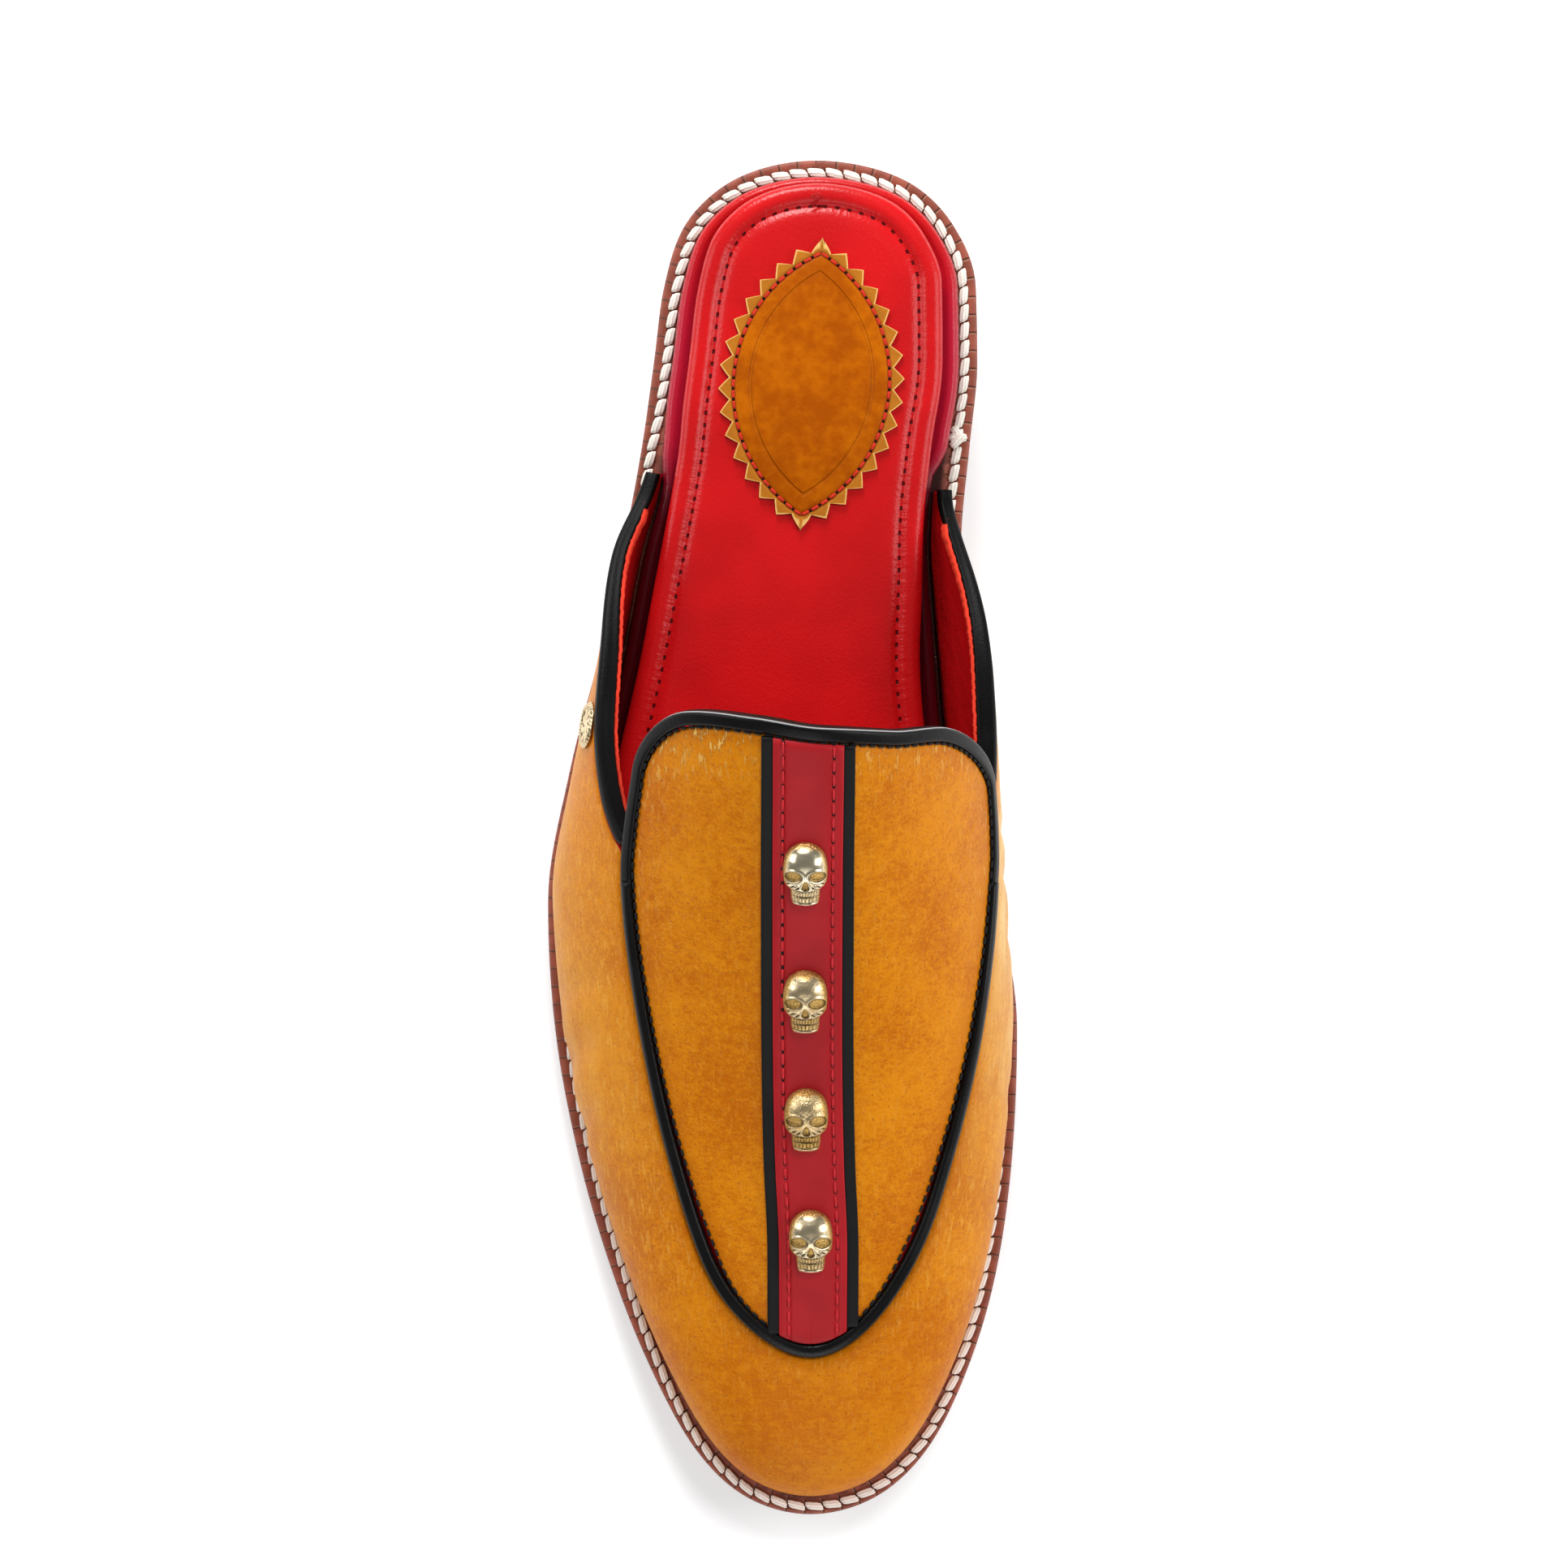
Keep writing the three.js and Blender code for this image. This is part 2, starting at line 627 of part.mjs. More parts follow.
// Apron panel in the shelf, running back as the free tongue
const APRON_ROWS = 19;
const ACROSS_HALF = [0.18, 0.36, 0.54, 0.72, 0.86, 0.94, 0.985, 1];
const ACROSS = [...ACROSS_HALF.map((across) => -across).reverse(), 0, ...ACROSS_HALF];
function apronTongue() {
  const end = APRON.end - PIPE.clear;
  const rows = spread(APRON_ROWS, 0, 1).map((share) => 1 - (1 - share) ** 1.6);
  const grid = (raise) =>
    rows.map((share) =>
      ACROSS.map((across) => {
        const at = THREE.MathUtils.lerp(tongueEnd(across) + PIPE.clear, end, share);
        const half = Math.max(grownHalf(at, -PIPE.clear, sideAcross(across)), 0);
        return onLast(ridgeX(at) + across * half, at, raise(at));
      }),
    );
  const shelf = SHELF - 1.5 * GAP;
  const free = TONGUE.thickness - APRON.proud;
  const taper = (at) => THREE.MathUtils.smoothstep(at, ...TONGUE.taper);
  const under = (at) => -THREE.MathUtils.lerp(free, shelf, taper(at));
  return slabGeometry(grid(() => APRON.proud), grid(under));
}

// Plan path of the apron seam between the throat points, round the toe end
function seamPath(count) {
  const start = THROAT + GAP / 2;
  return spread(count, -1, 1).map((turn) => {
    const at = APRON.end - (APRON.end - start) * Math.abs(turn) ** 1.9;
    return [ridgeX(at) + Math.sign(turn) * apronHalf(at), at];
  });
}

function apronPiping() {
  const { half, rise } = PIPE;
  const foot = GAP - SHELF;
  const round = [
    [-half, foot],
    [half, foot],
    [half, 0.3 * rise],
    [half * 0.55, rise],
    [-half * 0.55, rise],
    [-half, 0.3 * rise],
  ];
  return cordGeometry(stopsOnLast(seamPath(48)), round);
}

// Plan path of the tongue's edge between the throat points
function tonguePath() {
  const start = THROAT - 1;
  const point = (across, at) => [ridgeX(at) + across * apronHalf(at), at];
  const side = (across) => spread(5, start, tongueEnd(across)).map((at) => point(across, at));
  const top = ACROSS.slice(1, -1).map((across) => point(across, tongueEnd(across)));
  return [...side(-1), ...top, ...side(1).reverse()];
}

function tongueBinding() {
  const half = PIPE.half;
  const foot = -TONGUE.thickness - 0.2;
  const round = [
    [-half, foot + 0.7],
    [-half * 0.5, foot],
    [half * 0.5, foot],
    [half, foot + 0.7],
    [half, 0.4],
    [half * 0.5, 1],
    [-half * 0.5, 1],
    [-half, 0.4],
  ];
  return cordGeometry(stopsOnLast(tonguePath()), round);
}

// Binding on a quarter's top line, as far as the tongue's binding leaves room
function collarBinding(side) {
  const room = BINDING.height + PIPE.half + 3 * GAP;
  const gapTo = (at) => {
    const angle = featherAngle(at, side);
    const half = section(angle);
    return half.getPoint(apronEdge(half, 0)).distanceTo(half.getPoint(wallTop(angle)));
  };
  const until = spread(80, 120, THROAT).find((at) => gapTo(at) < room);
  const stations = wingStations(side).filter((at) => at < until);
  const stops = stations.map((at) => {
    const angle = featherAngle(at, side);
    const top = wallTop(angle);
    const up = section(angle).getTangent(top);
    const centre = onSection(angle, top).addScaledVector(up, GAP + BINDING.height / 2);
    return { centre, across: lastNormal(angle, top), up };
  });
  const { height, inside, outside } = BINDING;
  const [low, high] = [-WALL - inside, outside];
  const round = [
    [low, -height / 2],
    [high, -height / 2],
    [high, height * 0.2],
    [high - 0.8, height / 2],
    [low + 0.8, height / 2],
    [low, height * 0.2],
  ];
  return cordGeometry(stops, round);
}

// Stations of a band down the apron, from the tongue's binding to the piping at the toe end
const bandEnds = (x) => {
  const across = x / TONGUE.half;
  const meets = (at) => grownHalf(at, -PIPE.clear, sideAcross(x)) < Math.abs(x);
  const toe = firstTrue(meets, APRON.from, APRON.end - PIPE.clear);
  return [tongueEnd(across) + PIPE.clear, toe];
};

function centreStrip() {
  const columns = spread(4, -STRIP.half, STRIP.half);
  const grid = (raise) =>
    spread(22, 0, 1).map((share) =>
      columns.map((x) => {
        const at = THREE.MathUtils.lerp(...bandEnds(x), share);
        return onLast(ridgeX(at) + x, at, raise);
      }),
    );
  const foot = APRON.proud + GAP;
  return slabGeometry(grid(foot + STRIP.thickness), grid(foot));
}

function stripPiping(sign) {
  const half = STRIP.border / 2;
  const x = sign * (STRIP.half + GAP + half);
  const [from, to] = bandEnds(x + sign * half);
  const path = spread(22, from, to - GAP).map((at) => [ridgeX(at) + x, at]);
  const foot = APRON.proud + GAP;
  const round = [
    [-half, foot],
    [half, foot],
    [half, foot + 0.6],
    [half * 0.5, foot + 1.2],
    [-half * 0.5, foot + 1.2],
    [-half, foot + 0.6],
  ];
  return cordGeometry(stopsOnLast(path), round);
}

// Lens-shaped patch with a pinked edge, lying on the padded sock
function heelPatch() {
  const { half, width, tooth, teeth } = PATCH;
  const radius = (half * half + width * width) / (2 * width);
  const tilt = THREE.MathUtils.degToRad(PATCH.tilt);
  const steps = spread(2 * teeth, -1, 1);
  const grid = (raise) =>
    steps.map((step, i) => {
      const swing = step * Math.asin(half / radius);
      const along = radius * Math.sin(swing);
      const lens = radius * Math.cos(swing) - (radius - width);
      const reach = lens + (i % 2 ? tooth : 0) + 0.05;
      return [-1, 0, 1].map((side) => {
        const [u, v] = [side * reach, along * (1 + (tooth / half) * Math.abs(step))];
        const x = PATCH.x + u * Math.cos(tilt) + v * Math.sin(tilt);
        const at = PATCH.at + u * Math.sin(tilt) - v * Math.cos(tilt);
        return place(x, at, insoleTop(at) + GAP + raise);
      });
    });
  return slabGeometry(grid(PATCH.thickness), grid(0));
}

// Solids for cutting and joining
function solidOf(geometry) {
  const bare = new THREE.BufferGeometry();
  bare.setAttribute("position", geometry.attributes.position);
  bare.setIndex(geometry.index);
  const merged = mergeVertices(bare, 1e-4);
  return new wasm.Manifold(
    new wasm.Mesh({
      numProp: 3,
      vertProperties: merged.attributes.position.array,
      triVerts: new Uint32Array(wholeFaces(merged.index.array)),
    }),
  );
}

function geometryOf(solid) {
  const mesh = solid.getMesh();
  return new THREE.BufferGeometry()
    .setAttribute("position", new THREE.BufferAttribute(mesh.vertProperties, 3))
    .setIndex(new THREE.BufferAttribute(mesh.triVerts, 1));
}

// Ball stretched to three half sizes, at a place
function ball(halfSizes, centre, segments = 10) {
  const shape = new THREE.SphereGeometry(1, segments, Math.round(segments * 0.6));
  return shape.rotateX(Math.PI / 2).scale(...halfSizes).translate(...centre);
}

// Cast skull, face up, crown towards +Y, back flat on Z = 0
function skull() {
  const { width, height, depth } = STUD;
  const half = width / 2;
  const cranium = ball([half, height * 0.34, depth], [0, height * 0.16, 0], 14);
  const cheeks = ball([half * 0.84, height * 0.22, depth * 0.86], [0, -height * 0.14, 0], 10);
  const jaw = new THREE.CylinderGeometry(half * 0.62, half * 0.5, height * 0.36, 10);
  jaw.scale(1, 1, (depth * 0.78) / (half * 0.62)).translate(0, -height * 0.32, 0);
  const sockets = [-1, 1].map((side) =>
    ball([half * 0.36, height * 0.1, depth * 0.4], [side * half * 0.44, height * 0.02, depth * 0.88], 8),
  );
  const nose = ball([half * 0.14, height * 0.07, depth * 0.3], [0, -height * 0.13, depth * 0.95], 6);
  const behind = new THREE.BoxGeometry(4 * width, 4 * height, 4 * depth).translate(0, 0, -2 * depth);
  const mouth = new THREE.BoxGeometry(width, height * 0.025, depth * 0.3);
  mouth.translate(0, -height * 0.36, depth * 0.83);
  const bone = solidOf(cranium).add(solidOf(cheeks)).add(solidOf(jaw));
  const cuts = [...sockets, nose, mouth, behind].map(solidOf);
  return geometryOf(cuts.reduce((solid, cut) => solid.subtract(cut), bone));
}

function rivet() {
  const { radius, height } = RIVET;
  const arc = spread(5, 0, Math.PI / 2).map(
    (turn) => new THREE.Vector2(radius * Math.cos(turn), 0.7 + (height - 0.7) * Math.sin(turn)),
  );
  arc[arc.length - 1].x = 0;
  const profile = [new THREE.Vector2(0, 0), new THREE.Vector2(radius, 0), ...arc];
  return new THREE.LatheGeometry(profile, 14).rotateX(Math.PI / 2);
}

const shoe = new THREE.Group();

function addPiece(name, geometry, colour) {
  const material = new THREE.MeshStandardMaterial({ metalness: 0, ...COLOURS[colour] });
  const mesh = new THREE.Mesh(geometry, material);
  mesh.name = name;
  shoe.add(mesh);
  return mesh;
}

// Turns a mesh so that its Z is the skin's normal and its Y runs towards the heel
function seatOnLast(mesh, { angle, share }, raise) {
  const up = lastNormal(angle, share);
  const right = new THREE.Vector3(0, 1, 0).cross(up).normalize();
  const basis = new THREE.Matrix4().makeBasis(right, up.clone().cross(right), up);
  mesh.quaternion.setFromRotationMatrix(basis);
  mesh.position.copy(onSection(angle, share, raise));
}

addPiece("outsole", outsole(), "sole");
addPiece("heel", heel(), "sole");
addPiece("welt", welt(), "brown");
addPiece("footbed", footbed(), "red");
addPiece("insole", insole(), "red");
addPiece("heel_patch", heelPatch(), "mustard");
addPiece("upper", upper(), "mustard");
addPiece("apron_tongue", apronTongue(), "mustard");
addPiece("apron_piping", apronPiping(), "black");
addPiece("tongue_binding", tongueBinding(), "black");
addPiece("collar_binding_lateral", collarBinding("lateral"), "black");
addPiece("collar_binding_medial", collarBinding("medial"), "black");
addPiece("centre_strip", centreStrip(), "crimson");
addPiece("strip_piping_lateral", stripPiping(-1), "black");
addPiece("strip_piping_medial", stripPiping(1), "black");

const studSeat = APRON.proud + 2 * GAP + STRIP.thickness;
for (let i = 0; i < STUD.count; i++) {
  const at = STUD.first + i * STUD.pitch;
  seatOnLast(addPiece(`skull_stud_${i + 1}`, skull(), "gold"), overPlan(ridgeX(at), at), studSeat);
}
seatOnLast(
  addPiece("side_rivet", rivet(), "gold"),
  { angle: featherAngle(RIVET.at, "lateral"), share: RIVET.along },
  GAP,
);

export default shoe;
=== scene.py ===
"""A loafer mule for the right foot, dressed in leather, thread and cast metal around its solids."""

import copy
import math
from collections import namedtuple

import bmesh
import bpy
import numpy as np
from bpy.props import FloatProperty, FloatVectorProperty, PointerProperty
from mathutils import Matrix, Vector


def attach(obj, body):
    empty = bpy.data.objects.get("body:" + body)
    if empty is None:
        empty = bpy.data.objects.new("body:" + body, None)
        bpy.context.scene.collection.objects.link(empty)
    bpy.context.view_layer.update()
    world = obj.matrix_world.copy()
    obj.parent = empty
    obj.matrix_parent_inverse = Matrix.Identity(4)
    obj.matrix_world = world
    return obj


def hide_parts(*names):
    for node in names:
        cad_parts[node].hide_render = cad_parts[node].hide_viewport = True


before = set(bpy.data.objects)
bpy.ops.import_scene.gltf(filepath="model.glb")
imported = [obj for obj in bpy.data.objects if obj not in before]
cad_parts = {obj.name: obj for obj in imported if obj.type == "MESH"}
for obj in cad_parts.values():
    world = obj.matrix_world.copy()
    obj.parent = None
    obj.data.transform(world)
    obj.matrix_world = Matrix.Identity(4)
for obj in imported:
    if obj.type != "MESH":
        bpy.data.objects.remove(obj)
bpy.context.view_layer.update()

bl_info = {
    "name": "Loafer Mule",
    "version": (1, 0, 0),
    "blender": (4, 5, 0),
    "location": "View3D > Sidebar > Mule",
    "description": "Dresses the solids of a loafer mule in leather, thread and cast metal",
    "category": "Object",
}

# Units: the shoe's functions work in millimetres, the scene in metres
MM = 0.001
NUDGE = 1e-3
TAU = 2 * math.pi
SIDES = ("lateral", "medial")

# Sizes of the shoe
LENGTH = 298
GAP = 0.3
LIP = 4.4
OUTSOLE = 5
WELT = 3
KNOT_AT = 61.5
FOREFOOT_FROM = 78
FOREFOOT_THREAD = 0.87
THREAD_SQUARE = 0.55
THREAD_HEIGHT = 1.3
KNOT_SIZE = (4.2, 2.0, 1.4)
KNOT_TURNS = ((0.7, -0.7), (-0.7, 0.7), (1.5, 0.0))
CHANNEL_DEPTH = 0.5
STITCH_CLEAR = 1.3
STITCH_LEAST = 1.2
STITCH_MOST = 2.8
STITCH_HEEL = 2.85
TOE_PART = (232, 284)
WING_PART = (52, 66)
FINE_STITCH = (1.7, 0.6, 0.5)
STRIP_STITCH = (2.5, 0.45, 0.75)
NEEDLE_HOLE = (0.6, 0.65, 0.3)
FOOTBED = 5
INSOLE = 4
INSOLE_INSET = 3.6
SOCK_PITCH = 2.7
SOCK_FULLER = 0.6
SOCK_BACK = 1.6
SOCK_BACK_TURN = 0.42
WRAP_FULLER = 0.7
WRAP_LEAN = (64, 72)
# Where the footbed's wrap turns wine on its sides, a purple tint that is partly painted shade, and where it
# turns to painted shade inside the wings
WINE_PART = (12, 42)
WINE_SHARE = 0.9
SHADE_PART = (62, 76)
HEEL_LENGTH = 61
HEEL_BOW = 4
HEEL_TOP_INSET = 0.6
HEEL_FOOT_INSET = 2.9
HEEL_LIFT = 4.5
WALL = 2.2
SHELF = 1.45
THROAT = 160
WING = {"lateral": 69, "medial": 73}
TUCK_FADE = {"lateral": (70, 88), "medial": (84, 116)}
WING_TUCK = {"lateral": 1.4, "medial": 2.7}
FAN_FROM = 200
FAN_PIVOT = 252
APRON_HALF = 39.6
APRON_FROM = 155
APRON_END = 261.4
APRON_POWER = 1.7
APRON_ROUND = 1 / 1.9
APRON_PROUD = 0.2
APRON_BLEND = 20
TONGUE_HALF = 38
TONGUE_FROM = 126
TONGUE_CORNER = 10
TONGUE_CORNER_FROM = 0.72
TONGUE_THICKNESS = 2.2
TONGUE_TAPER = (148, 157)
PIPE_HALF = 1.45
PIPE_CLEAR = 1.8
BINDING_HEIGHT = 3
BINDING_HALF = (WALL + 0.9) / 2
BINDING_STEP = WALL / 2 - 0.05
BINDING_SPREAD = 0.45
SPREAD_RUN = (15, 60)
SINK_MOST = 4.5
LINING_SINK = 0.3
LINING_START = (4, 12)
LINING_END = 9
PIPE_RISE = 1.35
STRIP_HALF = {"lateral": 6.75, "medial": 7.65}
STRIP_THICKNESS = 1
STRIP_SEAM = 2.1
STRIP_BAND = 1.3
PATCH_AT = 50.5
PATCH_X = 6
PATCH_TILT = math.radians(4.4)
PATCH_HALF = 29.6
PATCH_WIDTH = 18
PATCH_TOOTH = 2.3
PATCH_TEETH = 15
PATCH_TOOTH_ROWS = 8
PATCH_SEAM = 0.9
PATCH_PITCH = 2.35
PATCH_LINE = 4.6
PATCH_THICKNESS = 0.85
PATCH_SUNK = 0.06
PATCH_DOME = 0.45
PATCH_DOME_RUN = 8
PATCH_THREAD_LIFT = 0.68
PATCH_SEAM_START = 0.6
STUDS = (158.6, 185.4, 210.6, 236.8)
STUD_HEIGHT = 13.9
STUD_SUNK = 0.45
STUD_AGE = (0.05, 0.4, 0.6, 0.25)
RIVET_AT = 126
RIVET_ALONG = 0.29
RIVET_RADIUS = 5.1
RIVET_GROOVE = 3.8

# Marks on the leathers and fine threads, as colours, some of them painted highlight and painted shade
PORE = (0.22, 0.045, 0.001)
CRINKLE_DYE_AND_HIGHLIGHT = (0.80, 0.45, 0.10)
SOCK_HOLE = (0.03, 0.001, 0.002)
CUT_EDGE_AND_HIGHLIGHT = (0.42, 0.42, 0.42)
STRIP_EDGE = (0.60, 0.03, 0.04)
STRIP_HOLE = (0.012, 0.001, 0.001)
PATCH_DARK = (0.34, 0.066, 0.0002)
PATCH_LIGHT = (0.48, 0.115, 0.0004)
PATCH_BORDER = (0.42, 0.19, 0.025)
PATCH_CUT = (0.80, 0.52, 0.17)
PATCH_GROOVE = (0.12, 0.02, 0.002)
WELT_NOTCH = (0.05, 0.012, 0.006)
WELT_NOTCH_HIGHLIGHT = (0.55, 0.26, 0.16)
WELT_SHADOW = (0.02, 0.003, 0.003)
LIFT_JOINT = (0.03, 0.008, 0.004)
SEAM_HOLE = (0.012, 0.002, 0.001)
RED_THREAD = (0.60, 0.03, 0.012)
CRIMSON_THREAD = (0.62, 0.028, 0.038)
BLACK_THREAD = (0.012, 0.012, 0.012)

# Tables by station, the distance from the back of the heel
Edge = namedtuple("Edge", "at lateral medial")
OUTLINE = [
    Edge(0, 7.2, 7.2),
    Edge(6, -13.9, 29.5),
    Edge(14, -21.7, 37.2),
    Edge(28, -26.5, 42.4),
    Edge(45, -28.8, 42.7),
    Edge(63, -31.4, 41.0),
    Edge(85, -35.6, 39.2),
    Edge(105, -40.0, 39.2),
    Edge(134, -47.6, 42.4),
    Edge(163, -52.5, 47.8),
    Edge(191, -50.9, 51.8),
    Edge(220, -45.5, 50.6),
    Edge(248, -37.0, 46.3),
    Edge(270, -27.6, 39.0),
    Edge(284, -19.4, 31.4),
    Edge(292, -11.7, 23.6),
    Edge(LENGTH, 5.8, 5.8),
]

Level = namedtuple("Level", "at value")
FEATHER = [Level(60, 2.1), Level(90, 2.3), Level(120, 3.4), Level(150, 4.3), Level(LENGTH, LIP)]
SEAT = [
    Level(0, 26.6),
    Level(30, 25.0),
    Level(60, 22.8),
    Level(90, 18.2),
    Level(120, 12.8),
    Level(148, 9.1),
    Level(166, 8.3),
    Level(212, 8.3),
    Level(238, 10.0),
    Level(265, 13.3),
    Level(LENGTH, 18.0),
]

Ridge = namedtuple("Ridge", "at x z")
RIDGE = [
    Ridge(60, 5.2, 110),
    Ridge(100, 5.0, 102),
    Ridge(124, 4.7, 92),
    Ridge(142, 4.6, 83.5),
    Ridge(160, 4.5, 74.6),
    Ridge(180, 4.5, 65.6),
    Ridge(200, 4.6, 57.4),
    Ridge(220, 5.0, 50.2),
    Ridge(240, 5.8, 43.6),
    Ridge(252, 5.8, 39.6),
]

Form = namedtuple("Form", "at rise flare reach")
FORM = {
    "lateral": [
        Form(60, 0.4, 20, 0.6),
        Form(84, 0.42, 21, 0.6),
        Form(110, 0.44, 17, 0.6),
        Form(135, 0.44, 22, 0.54),
        Form(163, 0.42, 31, 0.48),
        Form(190, 0.42, 31.5, 0.46),
        Form(220, 0.46, 26, 0.46),
        Form(250, 0.52, 20, 0.5),
        Form(294, 0.6, 12, 0.55),
    ],
    "medial": [
        Form(60, 0.4, 18, 0.6),
        Form(84, 0.44, 30, 0.6),
        Form(110, 0.5, 37, 0.6),
        Form(135, 0.52, 40, 0.62),
        Form(163, 0.5, 35, 0.62),
        Form(190, 0.46, 32, 0.58),
        Form(220, 0.46, 32, 0.52),
        Form(250, 0.52, 25, 0.5),
        Form(294, 0.6, 12, 0.55),
    ],
}

TOPLINE = [
    Edge(69, 0.8, 0.4),
    Edge(76, 4, 2.2),
    Edge(84, 10, 8.2),
    Edge(92, 16, 14.6),
    Edge(100, 21.5, 20),
    Edge(110, 27.5, 25.5),
    Edge(120, 32.5, 29),
    Edge(130, 36.5, 31.5),
    Edge(145, 42, 34),
    Edge(160, 48, 38.5),
]

# Station of the tongue's end by place across it
TONGUE_TOP = [
    Level(-1, 127.6),
    Level(-0.7, 126.8),
    Level(-0.3, 128.6),
    Level(0.1, 130.8),
    Level(0.45, 131),
    Level(0.75, 129.6),
    Level(1, 129.6),
]

# Profiles of the outsole and of the footbed's wrap, from the bottom up
Ring = namedtuple("Ring", "inset rise")
OUTSOLE_RINGS = [
    Ring(1.8, 0),
    Ring(1.1, 0.25),
    Ring(0.65, 0.9),
    Ring(0.5, 1.8),
    Ring(0.5, 4.4),
    Ring(0.7, OUTSOLE),
]
WRAP_RINGS = [
    Ring(0.0, 0),
    Ring(0.0, 2.2),
    Ring(0.12, 3.1),
    Ring(0.45, 3.9),
    Ring(1.0, 4.5),
    Ring(1.7, 4.7),
    Ring(2.5, 4.4),
    Ring(3.4, 3.8),
    Ring(4.4, 3.7),
    Ring(6.0, FOOTBED - 0.1),
]

# Steps of the apron's two edges towards the big toe
SEAM_SHIFT = [
    Edge(126, 3.2, 1.1),
    Edge(135, 3.1, 1.1),
    Edge(148, 2.0, 1.4),
    Edge(163, 1.4, 1.15),
    Edge(192, 1.7, 1.15),
    Edge(220, 0.9, 0.7),
    Edge(248, -1.6, 0.35),
    Edge(262, 0, 0),
]

# Half width and depth of a cast skull, from crown (0) to chin (1)
Skull = namedtuple("Skull", "down half depth")
SKULL = [
    Skull(0, 0.5, 0.6),
    Skull(0.02, 1.5, 1.5),
    Skull(0.05, 2.35, 2.4),
    Skull(0.146, 3.8, 3.8),
    Skull(0.29, 4.5, 4.6),
    Skull(0.44, 4.72, 4.7),
    Skull(0.585, 4.6, 4.2),
    Skull(0.66, 4.1, 4.0),
    Skull(0.735, 3.15, 3.7),
    Skull(0.83, 3.1, 3.55),
    Skull(0.93, 2.9, 3.3),
    Skull(0.985, 2.6, 2.3),
    Skull(1, 2.4, 1.2),
]


def length(name, description, default):
    """A size that a user may change, in metres."""
    return FloatProperty(
        name=name, description=description, default=default, min=0, unit="LENGTH", precision=5
    )


def colour(name, description, default):
    """A colour that a user may change."""
    return FloatVectorProperty(
        name=name, description=description, default=default, subtype="COLOR", min=0, max=1
    )


class MuleSizes(bpy.types.PropertyGroup):
    """Sizes of thread, padding and relief."""

    welt_pitch: length("Welt stitch pitch", "From one welt stitch to the next", 0.00393)
    welt_stitch: length("Welt stitch length", "Length of one thick welt stitch", 0.0039)
    welt_thread: length("Welt thread width", "Width of one thick welt stitch", 0.0021)
    seam_pitch: length("Seam pitch", "From one fine stitch to the next", 0.0023)
    seam_thread: length("Seam thread width", "Width of the fine thread", 0.0006)
    sock_bead: length("Sock bead width", "From the sock's edge to its stitch line", 0.0052)
    sock_valley: length("Sock valley depth", "How deep the stitches pull the sock in", 0.0011)
    lining_edge: length("Lining edge width", "Cut edge of the lining inside the collar", 0.0009)
    strip_pitch: length("Strip stitch pitch", "From one stitch of the centre strip to the next", 0.0032)


class MuleColours(bpy.types.PropertyGroup):
    """Colours of leathers, threads and metal."""

    mustard: colour("Mustard", "Main colour of upper and apron", (0.66, 0.225, 0.003))
    amber: colour("Amber", "Deeper colour in the mottling", (0.48, 0.12, 0.001))
    honey: colour("Honey", "Paler fibres", (0.74, 0.38, 0.05))
    # Straw is the flanks' pale tint, and it also stands for a painted highlight on them
    straw: colour("Straw", "Pale wash on the flanks", (0.80, 0.57, 0.25))
    red: colour("Red", "Sock, footbed wrap and lining", (0.55, 0.006, 0.008))
    # Wine is partly painted shade on the sides of the footbed's wrap
    wine: colour("Wine", "Wrapped edge of the footbed", (0.40, 0.008, 0.03))
    raw_red: colour("Raw red", "Cut edge of the lining", (0.70, 0.040, 0.016))
    crimson: colour("Crimson", "Centre strip", (0.39, 0.011, 0.016))
    black: colour("Black", "Piping and bindings", (0.0025, 0.0025, 0.0025))
    brown: colour("Brown", "Welt", (0.31, 0.078, 0.046))
    sole: colour("Sole", "Outsole and heel", (0.15, 0.035, 0.018))
    cream: colour("Cream", "Welt thread", (0.94, 0.89, 0.80))
    blush: colour("Blush", "Welt thread round the forefoot", (0.97, 0.84, 0.76))
    gold: colour("Gold", "High spots of the cast metal", (0.84, 0.75, 0.54))
    # Brass also serves as painted shade round the rims and crowns of the skulls
    brass: colour("Brass", "Worn parts and rims of the cast metal", (0.66, 0.42, 0.13))
    patina: colour("Patina", "Recesses of the cast metal", (0.07, 0.036, 0.01))


class Curve:
    """A smooth line through a table's column that never overshoots its rows."""

    def __init__(self, keys, values):
        self.keys = np.array(keys, float)
        self.values = np.array(values, float)
        self.step = np.diff(self.keys)
        rate = np.diff(self.values) / self.step
        before, after = rate[:-1], rate[1:]
        mean = (before * self.step[1:] + after * self.step[:-1]) / (self.step[:-1] + self.step[1:])
        least = np.minimum(np.minimum(abs(before), abs(after)), abs(mean) / 2)
        inner = (np.sign(before) + np.sign(after)) * least
        self.slope = np.concatenate([rate[:1], inner, rate[-1:]])

    def __call__(self, value):
        clamped = np.clip(value, self.keys[0], self.keys[-1])
        row = np.clip(np.searchsorted(self.keys, clamped) - 1, 0, len(self.step) - 1)
        step = self.step[row]
        share = (clamped - self.keys[row]) / step
        start = (1 + 2 * share) * self.values[row] + share * step * self.slope[row]
        finish = (3 - 2 * share) * self.values[row + 1] + (share - 1) * step * self.slope[row + 1]
        return (1 - share) ** 2 * start + share**2 * finish


def curve_of(table, column):
    """The curve of one column over the table's first."""
    return Curve([row[0] for row in table], [getattr(row, column) for row in table])


def smooth(low, high, value):
    """Goes softly from 0 at low to 1 at high."""
    share = np.clip((np.asarray(value, float) - low) / (high - low), 0, 1)
    return share * share * (3 - 2 * share)


def unit(vectors):
    """The same directions with length one."""
    size = np.linalg.norm(vectors, axis=-1, keepdims=True)
    return vectors / np.maximum(size, 1e-12)


def hump(value, centre, half):
    """A soft bump of height one round a centre."""
    return np.exp(-(((value - centre) / half) ** 2))


